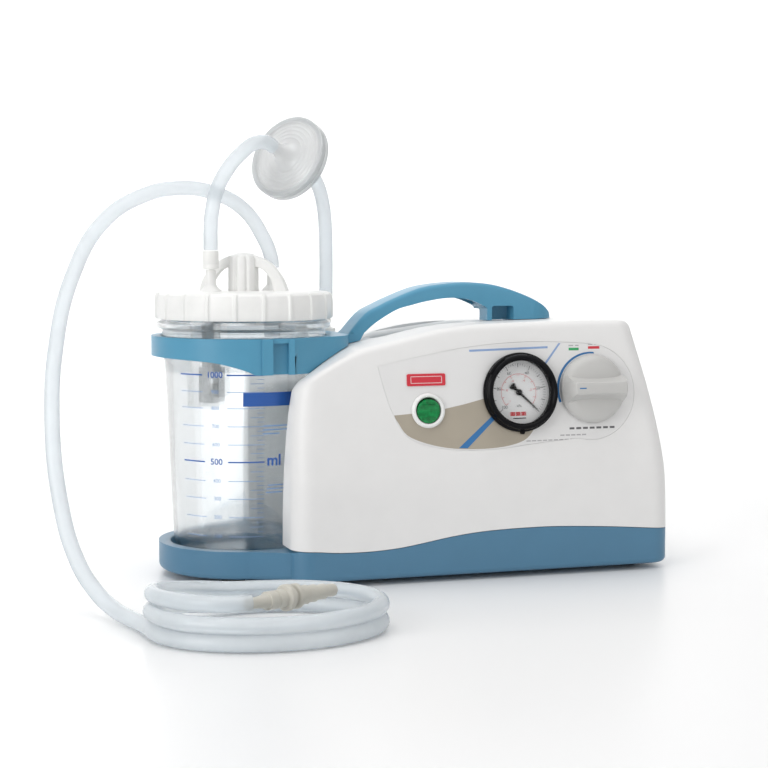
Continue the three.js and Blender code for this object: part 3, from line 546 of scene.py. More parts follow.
# ---------------------------------------------------------------- cabinet shell
# The white upper half of the case is one injection-moulded ABS shell, 2.8 mm thick. It leans
# back and narrows to the top, and wraps round the jar. Its label sits in a shallow pocket.
def between(table, place):
    """Reads a table of places and sizes, straight between its rows."""
    for (p0, v0), (p1, v1) in zip(table, table[1:]):
        if place <= p1:
            return v0 + (v1 - v0) * (max(place, p0) - p0) / (p1 - p0)
    return table[-1][1]


def rounded_edges(bm, edges, radius, segments, clamped=True):
    bmesh.ops.bevel(bm, geom=edges, offset=radius * MM, segments=segments, affect="EDGES", profile=0.5,
                    material=-1, clamp_overlap=clamped)


def sliced(bm, normal, places):
    """Cuts the faces across at each place, in millimetres, so that they can bend there."""
    for place in places:
        bmesh.ops.bisect_plane(bm, geom=bm.verts[:] + bm.edges[:] + bm.faces[:], dist=1e-6,
                               plane_co=Vector(normal) * place * MM, plane_no=normal)
    return bm


shell_low, shell_high = (Vector(c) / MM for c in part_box("upper_shell"))
CASE_LEFT, CASE_FRONT = shell_low.x, shell_low.y
CASE_RIGHT, CASE_BACK = shell_high.x, shell_high.y
CASE_CORNER = 14
WALL = 2.8
LEAN_SLOPE = 0.1175
LEAN = math.atan(LEAN_SLOPE)
LEAN_FROM = 70
TOP_FALL = 0.02
top_edge = smooth_line([(-100, 129), (-77, 143), (-60, 152), (-48, 157), (-22, 163), (7, 169.6), (35, 172.5),
                        (94, 173.8), (131, 174), (180, 173.2)])
seam = smooth_line([(-110, 25.4), (-84, 25), (-67, 23.6), (-46, 23.4), (-25, 24.8), (-8, 27.4), (10, 30.4),
                    (28, 32.6), (46, 33.7), (68, 34.2), (90, 34), (127, 32), (158, 29.6), (180, 28)])
left_wall = smooth_line([(0, -97), (65, -97), (115, -95), (143, -91), (180, -87)])
right_wall = smooth_line([(0, 175), (28, 175), (69, 173.6), (100, 168.9), (129, 162), (152, 155.3),
                          (180, 147)])
back_wall = [(0, 88), (100, 88), (180, 84)]
recess_wall = smooth_line([(15, 51.2), (20, 51.3), (48, 52.6), (80, 55), (111, 60), (140, 64.6),
                           (170, 67.5)])
BLANK = 140


def case_blank(inset, rim, top_drop, bottom_drop):
    """The cabinet's outside, or its hollow when inset, from a rounded block bent to the case's walls."""
    bm = box_mesh(CASE_LEFT + inset, CASE_RIGHT - inset, CASE_FRONT + inset, CASE_BACK - inset, -BLANK, 0)
    upright = [e for e in bm.edges if abs(e.verts[0].co.z - e.verts[1].co.z) > MM]
    rounded_edges(bm, upright, CASE_CORNER - inset, 10)
    top_rim = [e for e in bm.edges if min(e.verts[0].co.z, e.verts[1].co.z) > -MM / 10]
    rounded_edges(bm, top_rim, rim, 5)
    sliced(bm, (1, 0, 0), range(int(CASE_LEFT) + 18, int(CASE_RIGHT) - 14, 7))
    sliced(bm, (0, 1, 0), range(-60, 80, 24))
    sliced(bm, (0, 0, 1), range(-BLANK + 8, -8, 9))
    for v in bm.verts:
        x0, y0, share = v.co.x / MM, v.co.y / MM, -v.co.z / MM / BLANK
        x, y = x0, y0
        for _ in range(4):
            top = between(top_edge, x) - TOP_FALL * (y - CASE_FRONT) - top_drop
            z = top + share * (between(seam, x) - bottom_drop - top)
            near = CASE_FRONT + LEAN_SLOPE * max(0, z - LEAN_FROM)
            left = between(left_wall, z)
            x = left + (x0 - CASE_LEFT) / (CASE_RIGHT - CASE_LEFT) * (between(right_wall, z) - left)
            y = near + (y0 - CASE_FRONT) / (CASE_BACK - CASE_FRONT) * (between(back_wall, z) - near)
        v.co = Vector((x, y, z)) * MM
    return bm


def round_bar(radius, low, high, x=0.0, y=0.0, steps=48):
    bm = spun([(0, low), (radius, low), (radius, high), (0, high)], steps)
    bm.transform(Matrix.Translation((x * MM, y * MM, 0)))
    return bm


def jar_recess(extra):
    bm = spun([(0, 15)] + [(r + extra, z) for z, r in recess_wall] + [(0, 170)], 120)
    bm.transform(Matrix.Translation((JAR_X * MM, JAR_Y * MM, 0)))
    return bm


PANEL = (Matrix.Translation(Vector((0, CASE_FRONT, LEAN_FROM)) * MM) @ Matrix.Rotation(-LEAN, 4, "X")
         @ Matrix.Rotation(math.radians(90), 4, "X"))


def up_slope(height):
    return (height - LEAN_FROM) / math.cos(LEAN)


def on_panel(bm, x=0.0, height=LEAN_FROM, turn=0.0):
    """Stands a shape, drawn across, up and out, on the leaning face, turned about a point on it."""
    spot = Matrix.Translation(Vector((x, up_slope(height), 0)) * MM)
    bm.transform(PANEL @ spot @ Matrix.Rotation(math.radians(turn), 4, "Z"))
    return bm


def overlay_outline(inset):
    """The label pocket's outline: curved sides, and a round end about the knob."""
    lower = [(-38 + inset, 146), (-34 + inset, 130), (-28 + inset, 113), (-17, 97 + inset), (9, 89.3 + inset),
             (41, 88 + inset), (72, 91 + inset), (103.2, 93.6 + inset)]
    upper = [(95, 159.5 - inset), (62, 160 - inset), (20, 156.5 - inset), (-38 + inset, 146)]
    line = [(x, up_slope(z)) for x, z in smooth_line(lower, 5)]
    for i in range(1, 33):
        turn = -1.92 + (1.5 + 1.92) * i / 32
        line.append((114.5 + (33 - inset) * math.cos(turn), up_slope(125) + (33 - inset) * math.sin(turn)))
    last = [(x, up_slope(z)) for x, z in smooth_line([(116.8, 158 - inset)] + upper, 5)]
    return line + last[1:-1]


GAUGE_X, GAUGE_Z = 62.5, 126
KNOB_X, KNOB_Z = 115.3, 127
SWITCH_X, SWITCH_Z = -3.8, 115.5
BARB_X, BARB_Y = -36, 66
SOCKET_X, SOCKET_Z = 110, 60
WELL_X0, WELL_X1, WELL_Y0, WELL_Y1, WELL_FLOOR = -20, 54, -14, 26, 148
WELL_CORNER, WELL_LIP = 8, 6


def hand_well():
    """The hollow that the fingers go into, with round corners and a lip that rolls over its rim."""
    bm = box_mesh(WELL_X0, WELL_X1, WELL_Y0, WELL_Y1, -30, 10)
    upright = [e for e in bm.edges if abs(e.verts[0].co.z - e.verts[1].co.z) > MM]
    rounded_edges(bm, upright, WELL_CORNER, 8)
    lip_steps = [-WELL_LIP * (1 - math.sin(math.radians(a))) for a in range(0, 90, 12)]
    sliced(bm, (0, 0, 1), [-24, -10] + lip_steps + [0])
    for v in bm.verts:
        x, y, above = (c / MM for c in v.co)
        core = Vector((min(max(x, WELL_X0 + WELL_CORNER), WELL_X1 - WELL_CORNER),
                       min(max(y, WELL_Y0 + WELL_CORNER), WELL_Y1 - WELL_CORNER)))
        out = (Vector((x, y)) - core).normalized()
        up = min(WELL_LIP, max(0, above + WELL_LIP))
        flare = WELL_LIP - math.sqrt(max(0, WELL_LIP ** 2 - up ** 2))
        x, y = Vector((x, y)) + out * flare
        top = between(top_edge, x) - TOP_FALL * (y - CASE_FRONT)
        v.co = Vector((x, y, max(top + above, WELL_FLOOR))) * MM
    return bm


hollow = carved(case_blank(WALL, 2, WALL, 8), jar_recess(WALL), box_mesh(-28.8, 62.8, -22.8, 34.8, 145, 203),
                round_bar(9.5, 140, 180, BARB_X, BARB_Y))
boss = spun([(0, 150), (9.5, 150), (9.5, 161.2), (8.7, 162), (0, 162)], 48)
boss.transform(Matrix.Translation((BARB_X * MM, BARB_Y * MM, 0)))
shell = carved(case_blank(0, 5, 0, 0), boss, operation="UNION")
vents = [box_mesh(-20 + 10 * i, -15 + 10 * i, 80, 95, 62, 92, 1.4) for i in range(6)]
shell = carved(shell, jar_recess(0), hand_well(), hollow,
               on_panel(prism(overlay_outline(0), -1, 6)),
               on_panel(round_bar(24.5, -9, 6), GAUGE_X, GAUGE_Z),
               on_panel(round_bar(5, -9, 6), KNOB_X, KNOB_Z),
               on_panel(round_bar(10.2, -9, 6), SWITCH_X, SWITCH_Z),
               round_bar(3.6, 140, 170, BARB_X, BARB_Y),
               box_mesh(SOCKET_X - 22.4, SOCKET_X + 22.4, 80, 95, SOCKET_Z - 11.9, SOCKET_Z + 11.9), *vents)
case_white = moulded("case_white_abs", (0.80, 0.793, 0.785), 0.36, grain=0.12, grain_size=650, mottle=0.012)

finished("cabinet_shell", shell, case_white, "housing", sharp=30,
         stands_for=["upper_shell"])


# ---------------------------------------------------------------- base tray
# The blue lower half of the case, moulded in ABS with the round foot that the jar stands in. Its
# bottom edge is rounded, and its rim follows the shell's wave with a fine shadow gap.
tray_blue = moulded("tray_blue_abs", (0.078, 0.205, 0.325), 0.36, grain=0.12, grain_size=650, mottle=0.02)
FOOT_HEIGHT = 4
SEAM_GAP = 0.4
BASE_RIM = 23
BASE_OUTER, BASE_WELL = 59.5, 51
CORNER_ENDS, FOOT_ENDS = 2.97, 4.55


def arc(x, y, radius, start, stop, parts=10):
    return [(x + radius * math.cos(start + (stop - start) * i / parts),
             y + radius * math.sin(start + (stop - start) * i / parts)) for i in range(parts + 1)]


def plan_corners(inset):
    """Centres and radius of the case's four corners in plan, from the front right and round."""
    r = CASE_CORNER
    spots = [(CASE_RIGHT - r, CASE_FRONT + r), (CASE_RIGHT - r, CASE_BACK - r),
             (CASE_LEFT + r, CASE_BACK - r), (CASE_LEFT + r, CASE_FRONT + r)]
    return spots, r - inset


corners, radius = plan_corners(0)
half_turn = math.pi
plan = arc(*corners[0], radius, -half_turn / 2, 0) + arc(*corners[1], radius, 0, half_turn / 2)
plan += arc(*corners[2], radius, half_turn / 2, CORNER_ENDS)
plan += arc(JAR_X, JAR_Y, BASE_OUTER, 2 * half_turn - FOOT_ENDS, FOOT_ENDS, 60)
plan += arc(*corners[3], radius, -CORNER_ENDS, -half_turn / 2)
TRAY_BLANK = 40
tray = prism(plan, FOOT_HEIGHT, TRAY_BLANK)
bottom_rim = [e for e in tray.edges if max(e.verts[0].co.z, e.verts[1].co.z) < (FOOT_HEIGHT + 0.1) * MM]
rounded_edges(tray, bottom_rim, 4.5, 5)
sliced(tray, (1, 0, 0), range(-98, 162, 5))
for v in tray.verts:
    if v.co.z > (TRAY_BLANK - 1) * MM:
        x = v.co.x / MM
        seam_rim = between(seam, x) - SEAM_GAP
        v.co.z = (BASE_RIM + (seam_rim - BASE_RIM) * min(1, max(0, (x + 97) / 4))) * MM
inner_corners, inner_radius = plan_corners(3)
room_plan = [spot for i, middle in enumerate(inner_corners)
             for spot in arc(*middle, inner_radius, half_turn * (i - 1) / 2, half_turn * i / 2)]
room = carved(prism(room_plan, 7.5, 60), round_bar(BASE_WELL + 3, 0, 70, JAR_X, JAR_Y, 96))
well = spun([(0, 10), (50, 10), (50.7, 10.3), (51, 11), (51, 20.6), (51.6, 22.4), (53.2, 23.4), (53.2, 60),
             (0, 60)], 120)
well.transform(Matrix.Translation((JAR_X * MM, JAR_Y * MM, 0)))
screw_spots = [(-40, -71.5), (150, -71.5), (150, 81.5), (-40, 81.5)]
drilled = [round_bar(4, 0, 6, x, y, 32) for x, y in screw_spots]
tray = carved(tray, room, well, *drilled)
finished("tray_with_jar_foot", tray, tray_blue, "housing", sharp=34,
         stands_for=["base_tray"])


# ---------------------------------------------------------------- jar ring
# A pale blue moulded ring clipped to the cabinet. The jar hangs in it by its flange, and the arm
# behind it curves into the carry handle. Two ribs and a slot mark its front.
ring_blue = moulded("ring_and_handle_blue_abs", (0.085, 0.30, 0.455), 0.33, grain=0.1, grain_size=650,
                    mottle=0.02)
RING_LOW, RING_TOP, RING_OUTER, RING_INNER = 140.5, 164.3, 63.4, 57


def across(outline, front, back, rounding=0.0):
    """An outline of x and height given depth from front to back."""
    bm = prism(outline, -back, -front, rounding)
    bm.transform(Matrix.Rotation(math.radians(90), 4, "X"))
    return bm


def below_top(rise):
    """Everything below the cabinet's top, which falls towards the back."""
    skyline = [(x, z + rise) for x, z in reversed(top_edge)]
    bm = across([(-120, 60), (190, 60)] + skyline, -130, 130)
    for v in bm.verts:
        if v.co.z > 100 * MM:
            v.co.z -= TOP_FALL * (v.co.y - CASE_FRONT * MM)
    return bm


def softened(piece, width, angle=38, segments=2):
    """Breaks a piece's sharp edges, as a mould does."""
    edge = piece.modifiers.new("broken_edges", "BEVEL")
    edge.width = width * MM
    edge.segments = segments
    edge.limit_method = "ANGLE"
    edge.angle_limit = math.radians(angle)
    edge.use_clamp_overlap = True
    return piece


band = round_bar(RING_OUTER, RING_LOW, RING_TOP, JAR_X, JAR_Y, 144)
neck = [(-104, -62.9), (-91.5, -61.5), (-73, -51.5), (-54.5, -41), (-45.5, -30), (-42.6, -17)]
neck = [(x, JAR_Y + y) for x, y in smooth_line(neck, 5)]
arm = prism(neck + [(x, 2 * JAR_Y - y) for x, y in reversed(neck)], RING_LOW, RING_TOP)
wide_rib = box_mesh(-114, -106.6, JAR_Y - 64.8, JAR_Y - 58, RING_LOW, RING_TOP)
thin_rib = box_mesh(-95.4, -91.5, JAR_Y - 63, JAR_Y - 58, RING_LOW, RING_TOP)
lifted_edge = smooth_line([(-114, 138), (-122, 142.4), (-136, 146.8), (-150, 149.3), (-180, 151)], 5)
lift = across([(-180, 130), (-114, 130)] + lifted_edge, -70, 80)
slot_room = box_mesh(-106.6, -95.4, JAR_Y - 80, JAR_Y - 58.8, RING_LOW - 5, RING_TOP - 3)
case_top = carved(below_top(0.5), round_bar(RING_OUTER + 0.2, 40, 200, JAR_X, JAR_Y, 144))
ring = carved(band, arm, wide_rib, thin_rib, operation="UNION")
ring = carved(ring, case_top, lift, slot_room, round_bar(RING_INNER, 100, 200, JAR_X, JAR_Y, 144))
softened(finished("jar_holding_ring", ring, ring_blue, "housing", sharp=34,
                  stands_for=["jar_ring"]), 0.9)


# ---------------------------------------------------------------- carry handle
# The handle is a moulded channel in the same blue. It springs from the ring's arm, bows over the
# hand well and stands on the cabinet's top in a rounded foot with a pocket in its front.
HANDLE_FRONT, HANDLE_BACK = -12, 16
HANDLE_MIDDLE = (HANDLE_FRONT + HANDLE_BACK) / 2
HANDLE_WALL, HANDLE_ROOF = 3, 3.6
FOOT_X, FOOT_LENGTH = 91, 22.6
outer_bow = smooth_line([(-42.2, 163.4), (-29, 178), (-18, 184), (-7, 189), (9, 195), (22, 197.7),
                         (43, 199.4), (62, 198.2), (76, 195), (90, 190.2), (101, 185), (110.5, 178),
                         (113.6, 173)], 4)
inner_bow = smooth_line([(61, 180), (59, 182.4), (46, 187.5), (31, 188.4), (16, 186.4), (4, 183.6),
                         (-7, 180.4), (-22, 171.6), (-30, 164.9)], 4)
bow = across(outer_bow + [(113.6, 160), (61, 160)] + inner_bow + [(-34, 158), (-42.2, 158)],
             HANDLE_FRONT, HANDLE_BACK)


def is_on_bow(v):
    return min(math.hypot(v.co.x / MM - x, v.co.z / MM - z) for x, z in outer_bow[1:]) < 0.01


# each side is one flat face before its rims are rounded
side_splits = [e for e in bow.edges if len(e.link_faces) == 2 and e.calc_face_angle() < 1e-3
               and abs(e.verts[0].co.y - e.verts[1].co.y) < 1e-6]
bmesh.ops.dissolve_edges(bow, edges=side_splits)
bow_rims = [e for e in bow.edges if abs(e.verts[0].co.y - e.verts[1].co.y) < 1e-6
            and is_on_bow(e.verts[0]) and is_on_bow(e.verts[1])]
rounded_edges(bow, bow_rims, 3.2, 5, clamped=False)
foot_end = [(FOOT_X + FOOT_LENGTH * math.cos(math.radians(a)),
             HANDLE_MIDDLE + (HANDLE_BACK - HANDLE_MIDDLE) * math.sin(math.radians(a)))
            for a in range(-90, 91, 6)]
foot_plan = prism([(-60, HANDLE_FRONT)] + foot_end + [(-60, HANDLE_BACK)], 150, 210)
under_bow = [(x, z - HANDLE_ROOF) for x, z in outer_bow if -8 < x < 60]
channel = across(under_bow + [(60, 160), (-20, 160)], HANDLE_FRONT + HANDLE_WALL, HANDLE_BACK - HANDLE_WALL)
pocket = box_mesh(64.5, 81, HANDLE_FRONT - 5, 1, 150, 182.5, 1.5)
notch = box_mesh(55, 84, 4, HANDLE_BACK + 5, 150, 180, 1.5)
handle = carved(bow, foot_plan, operation="INTERSECT")
over_ring = box_mesh(-70, -42, -60, 70, 100, RING_TOP + 0.3)
handle = carved(handle, channel, pocket, notch, below_top(0.4), over_ring)
softened(finished("bowed_carry_handle", handle, ring_blue, "housing", sharp=34,
                  stands_for=["carry_handle"]), 1.6, segments=3)


# ---------------------------------------------------------------- front overlay and its prints
# A thin polycarbonate film is glued in the shell's pocket, with cut-outs for the gauge, switch
# and knob. It is printed with a warm grey field, a blue stripe and the knob's marks.
overlay_film = moulded("overlay_pale_film", (0.77, 0.765, 0.76), 0.3, grain=0.05, grain_size=800, mottle=0.01)
FILM_FACE = -0.1
PRINT_FACE = FILM_FACE + 0.05
film = on_panel(prism(overlay_outline(0.14), -0.7, FILM_FACE))
film = carved(film, on_panel(round_bar(24.5, -9, 6), GAUGE_X, GAUGE_Z),
              on_panel(round_bar(5, -9, 6), KNOB_X, KNOB_Z),
              on_panel(round_bar(10.2, -9, 6), SWITCH_X, SWITCH_Z))
finished("printed_overlay", film, overlay_film, "housing", stands_for=["front_overlay"])


def ink(name, colour):
    return moulded(name, colour, 0.32, grain=0.03, grain_size=700, mottle=0.03)


def panel_print(name, paint, *outlines):
    """Flat prints on the film, each an outline of x and height in millimetres."""
    bm = bmesh.new()
    for line in outlines:
        join_in(bm, prism([(x, up_slope(z)) for x, z in line], FILM_FACE + 0.01, PRINT_FACE))
    cut = carved(on_panel(bm), on_panel(round_bar(25, -9, 6), GAUGE_X, GAUGE_Z),
                 on_panel(round_bar(10.4, -9, 6), SWITCH_X, SWITCH_Z))
    return finished(name, cut, paint, "housing")


warm_grey = ink("print_warm_grey", (0.40, 0.355, 0.285))
stripe_blue = ink("print_stripe_blue", (0.03, 0.165, 0.40))
sign_green = ink("print_green", (0.03, 0.36, 0.12))
sign_red = ink("print_red", (0.62, 0.03, 0.05))
soft_blue = ink("print_soft_blue", (0.26, 0.38, 0.62))
dark_grey = ink("print_dark_grey", (0.12, 0.12, 0.125))
pale_grey = ink("print_pale_grey", (0.42, 0.41, 0.42))
field = smooth_line([(-27.6, 113), (-25.2, 108.4), (-16.4, 98), (9, 90.3), (41, 89), (64, 93.4),
                     (74, 104)], 6)
field += [(74, 118), (52, 124.8), (36, 122.3), (22, 119), (8, 116.3), (-8, 114.2)]
panel_print("field_print", warm_grey, field)
stripe = prism([(x, up_slope(z)) for x, z in [(17.2, 89.9), (23.4, 89.5), (44.2, 108.7), (41.8, 110.7)]],
               PRINT_FACE, PRINT_FACE + 0.03)
finished("stripe_print", on_panel(stripe), stripe_blue, "housing")
panel_print("thin_stripe_print", soft_blue, [(80.6, 144.6), (82, 144), (93.6, 158.6), (92.2, 158.8)])


def round_the_knob(radius, aside, angles):
    """Points about the knob's middle, as x and height, with the lean taken out of the height."""
    return [(KNOB_X + aside + radius * math.cos(math.radians(a)),
             KNOB_Z + radius * math.sin(math.radians(a)) / 1.007) for a in angles]


crescent = round_the_knob(25.6, 0, range(84, 201, 4)) + round_the_knob(24.4, 0.5, range(200, 83, -4))
panel_print("knob_arc_print", stripe_blue, crescent)


def bar_line(x0, x1, z0, z1):
    return [(x0, z0), (x1, z0), (x1, z1), (x0, z1)]


panel_print("open_mark_print", sign_green, bar_line(99.5, 107, 153.6, 155.4))
panel_print("shut_mark_print", sign_red, bar_line(114, 122.5, 154.4, 156.2))
panel_print("range_line_print", pale_grey,
            bar_line(99.5, 103, 156.6, 157.3), bar_line(104.4, 107, 156.6, 157.3),
            bar_line(114, 117.4, 157.2, 157.9), bar_line(118.6, 122.5, 157.2, 157.9))
under_knob = [bar_line(x, x + 3.6, 99.8, 101.2) for x in range(98, 130, 5)]
panel_print("knob_caption_bars", dark_grey, *under_knob)
small_bars = [bar_line(x, x + 3.1, 92.6 + 0.03 * i, 93.3 + 0.03 * i) for i, x in enumerate(range(66, 102, 4))]
small_bars += [bar_line(x, x + 3.1, 95.6, 96.5) for x in range(91, 109, 4)]
panel_print("notice_bars", pale_grey, *small_bars)
panel_print("heading_line", soft_blue, [(27, 154.0), (84, 155.4), (84, 156.8), (27, 155.4)])


# ---------------------------------------------------------------- red plate
# A small red plate glued on above the switch. It is plain, with a thin white keyline.
plate_red = moulded("plate_red_film", (0.62, 0.025, 0.045), 0.3, grain=0.03, mottle=0.04)
plate = prism([(x, up_slope(z)) for x, z in bar_line(-18, 9, 132, 140)], -0.1, 0.7)
upright = [e for e in plate.edges if abs(e.verts[0].co.z - e.verts[1].co.z) > 0.1 * MM]
rounded_edges(plate, upright, 1.0, 4)
finished("small_red_plate", on_panel(plate), plate_red, "housing",
         stands_for=["label_plate"])
keyline_white = ink("print_keyline", (0.80, 0.62, 0.62))
keyline = bmesh.new()
for x0, x1, z0, z1 in ((-15.5, 6.5, 133.6, 134), (-15.5, 6.5, 138, 138.4), (-15.5, -15.1, 133.6, 138.4),
                       (6.1, 6.5, 133.6, 138.4)):
    join_in(keyline, prism([(x, up_slope(z)) for x, z in bar_line(x0, x1, z0, z1)], 0.7, 0.74))
finished("plate_keyline", on_panel(keyline), keyline_white, "housing")


# ---------------------------------------------------------------- vacuum gauge
# A 50 mm dial gauge in a black stepped case, clamped through the panel. A printed aluminium dial
# and a black pointer with a wide tail sit behind a clear lens.
gauge_black = moulded("gauge_black_abs", (0.006, 0.006, 0.007), 0.16, grain=0.04, grain_size=500,
                      mottle=0.2, ior=1.3)
gauge_black.node_tree.nodes["Principled BSDF"].inputs["Specular IOR Level"].default_value = 0.2
gauge = spun([(0, -30), (5, -30), (5, -22), (23.4, -22), (24, -21.4), (24, 0.2), (26.4, 0.2), (27, 0.8),
              (27, 2.2), (26.7, 2.7), (26.1, 3.0), (25.7, 3.3), (25.5, 5.4), (25.2, 6.4), (24.5, 7.1),
              (23.6, 7.3), (22.6, 7.1), (21.9, 6.5), (21.4, 5.6), (21.3, 4.2), (22.7, 4.2),
              (22.7, -20.5), (0, -20.5)], 128)
tab = round_bar(1.3, 0.4, 3.4, 0, 0, 20)
bmesh.ops.translate(tab, vec=Vector((0, -27.3, 0)) * MM, verts=tab.verts)
join_in(gauge, tab)
clip = prism(arc(0, 0, 26.9, math.radians(118), math.radians(150), 10)
             + arc(0, 0, 25.0, math.radians(150), math.radians(118), 10), 2.4, 5.6, 0.4, 2)
join_in(gauge, clip)
finished("gauge_black_case", on_panel(gauge, GAUGE_X, GAUGE_Z), gauge_black, "housing", sharp=28,
         stands_for=["gauge_case"])
dial_paint = moulded("dial_white_enamel", (0.86, 0.86, 0.86), 0.4, grain=0.03, grain_size=500)
DIAL_FACE = -2.4
dial = spun([(1.5, -3.2), (22.2, -3.2), (22.2, DIAL_FACE), (1.5, DIAL_FACE)], 96)
finished("gauge_white_dial", on_panel(dial, GAUGE_X, GAUGE_Z), dial_paint, "housing",
         stands_for=["gauge_dial"])
SCALE_ZERO, SCALE_SWEEP = -43, 266


def dial_print(outline, turn=0.0):
    """A print on the dial, its outline drawn in millimetres from the middle, turned about it."""
    bm = prism(outline, DIAL_FACE, DIAL_FACE + 0.05)
    bm.transform(Matrix.Rotation(math.radians(turn), 4, "Z"))
    return bm


def tick(inner, outer, width):
    return [(inner, -width / 2), (outer, -width / 2), (outer, width / 2), (inner, width / 2)]


def numeral(words, size, radius, turn):
    bm = figures(words, size)
    angle = math.radians(turn)
    spot = Vector((radius * math.cos(angle), radius * math.sin(angle), DIAL_FACE + 0.03)) * MM
    bmesh.ops.translate(bm, vec=spot, verts=bm.verts)
    return bm


black_scale, red_scale = bmesh.new(), bmesh.new()
for mark in range(51):
    turn = SCALE_ZERO + SCALE_SWEEP * mark / 50
    major, middle = mark % 5 == 0, mark % 10 == 0
    tick_start = 16.4 if middle else 17.2 if major else 18.2
    join_in(black_scale, dial_print(tick(tick_start, 19.8, 0.42 if major else 0.2), turn))
    if major:
        join_in(red_scale, dial_print(tick(10.6 if middle else 11.2, 12.6, 0.34), turn))
    if middle:
        join_in(black_scale, numeral(str(mark * 2), 3.0, 14.5, turn))
        join_in(red_scale, numeral(("0", ".2", ".4", ".6", ".8", "1")[mark // 10], 2.3, 8.9, turn))
start, stop = math.radians(SCALE_ZERO), math.radians(SCALE_ZERO + SCALE_SWEEP)
join_in(red_scale, dial_print(arc(0, 0, 12.8, start, stop, 60) + arc(0, 0, 12.5, stop, start, 60)))
join_in(black_scale, dial_print(bar_line(-4.6, 4.6, -17.9, -17.2)))
join_in(black_scale, numeral("kPa", 2.4, 9.2, -90))
for x in (-6.6, -2.6, 1.4):
    join_in(red_scale, dial_print(bar_line(x, x + 3.4, -15.9, -13.2)))
scale_black = ink("dial_ink_black", (0.02, 0.02, 0.025))
scale_red = ink("dial_ink_red", (0.60, 0.05, 0.06))
finished("dial_black_scale", on_panel(black_scale, GAUGE_X, GAUGE_Z), scale_black, "housing")
finished("dial_red_scale", on_panel(red_scale, GAUGE_X, GAUGE_Z), scale_red, "housing")
needle_side = [(-7.5, -2.0), (-6.6, -2.5), (-4.4, -1.5), (-3, -0.9), (4, -0.75), (17.5, -0.22)]
needle = needle_side + [(x, -y) for x, y in reversed(needle_side)]
pointer = prism(needle, -1.6, -1.1, 0.08, 1)
pointer.transform(Matrix.Rotation(math.radians(SCALE_ZERO), 4, "Z"))
spindle = spun([(0, -9), (0.9, -9), (0.9, -2), (2.1, -2), (2.1, -0.7), (1.7, -0.3), (0.9, -0.2),
                (0, -0.15)], 40)
join_in(pointer, spindle)
finished("gauge_black_pointer", on_panel(pointer, GAUGE_X, GAUGE_Z), gauge_black, "pointer", sharp=28,
         stands_for=["gauge_pointer"])
lens_clear = moulded("gauge_lens_clear", (0.97, 0.98, 0.98), 0.04, grain=0.01, mottle=0.01, transmission=1.0,
                     sheen_bump=0.02, ior=1.49, solid=0.13)
lens = spun([(0, 2.6), (22.2, 2.6), (22.2, 3.7), (21, 3.9), (12, 4.2), (0, 4.4)], 96)
finished("gauge_clear_lens", on_panel(lens, GAUGE_X, GAUGE_Z), lens_clear, "housing",
         stands_for=["gauge_lens"])


# ---------------------------------------------------------------- regulator knob
# The vacuum regulator's knob is one pale moulding: a domed skirt with a wide raised wing to turn
# it by, waisted at the middle, pressed on a brass spindle.
knob_pale = moulded("knob_pale_abs", (0.54, 0.535, 0.52), 0.34, grain=0.12, grain_size=600, mottle=0.015)
KNOB_RADIUS, KNOB_HEIGHT = 23.5, 18.2
skirt = spun([(0, 0.6), (23.1, 0.6), (KNOB_RADIUS, 1.0), (KNOB_RADIUS, 3.2), (23.1, 4.3), (22.3, 5.6),
              (21.2, 7), (19.6, 8.2), (17.2, 9.1), (12, 9.6), (0, 9.8)], 120)
wing_side = smooth_line([(-25, 11.6), (-12, 10.4), (0, 9.8), (12, 10.4), (25, 11.6)], 6)
wing = prism(wing_side + [(x, -y) for x, y in reversed(wing_side)], 2, KNOB_HEIGHT)
for v in wing.verts:
    if v.co.z > 10 * MM:
        v.co.y *= 0.42
rounded_edges(wing, [e for e in wing.edges if min(e.verts[0].co.z, e.verts[1].co.z) > 10 * MM], 1.3, 4)
trim = spun([(0, 0), (22.8, 0), (22.6, 6), (21.2, 13), (19.4, 17.4), (18, 18.6), (0, 19)], 120)
wing = carved(wing, trim, operation="INTERSECT")
knob = carved(skirt, wing, operation="UNION")
knob = carved(knob, round_bar(3.3, -1, 7))
softened(finished("regulator_wing_knob", on_panel(knob, KNOB_X, KNOB_Z), knob_pale, "knob", sharp=28,
                  stands_for=["regulator_knob"]), 0.5, angle=34)
knob_line = prism(bar_line(-16.4, -11.5, -0.4, 0.4), KNOB_HEIGHT - 0.1, KNOB_HEIGHT + 0.04)
finished("knob_index_line", on_panel(knob_line, KNOB_X, KNOB_Z), stripe_blue, "knob")


# ---------------------------------------------------------------- mains switch
# A round snap-in rocker switch: a white bezel and a translucent green rocker with moulded ribs,
# tilted in its off position. It rocks about the bezel's middle.
switch_white = moulded("switch_white_nylon", (0.84, 0.84, 0.83), 0.26, grain=0.06, grain_size=500,
                       mottle=0.01)
switch_green = moulded("switch_green_lens", (0.003, 0.22, 0.055), 0.22, grain=0.12, grain_size=260,
                       mottle=0.35, ior=1.38, cloud_size=420)
bezel = spun([(0, -14), (9.8, -14), (9.8, 0.2), (11.4, 0.2), (11.75, 0.5), (11.7, 1.0), (11.3, 1.7),
              (10.7, 2.2), (10.1, 2.4), (9.4, 2.2), (8.9, 1.6), (8.9, -8.5), (0, -8.5)], 96)
finished("switch_round_bezel", on_panel(bezel, SWITCH_X, SWITCH_Z), switch_white, "housing", sharp=30,
         stands_for=["switch_body"])
ROCKER_TILT = 10
side = [(-8, -2), (-3, -5), (3, -5), (8, -2), (8, 2.4), (4, 1.4), (0, 1.0), (-4, 1.4), (-8, 2.4)]
rocker = prism(side, -9, 9)
rocker.transform(Matrix(((0, 0, 1, 0), (1, 0, 0, 0), (0, 1, 0, 0), (0, 0, 0, 1))))
rocker = carved(rocker, round_bar(8, -9, 9, steps=72), operation="INTERSECT")
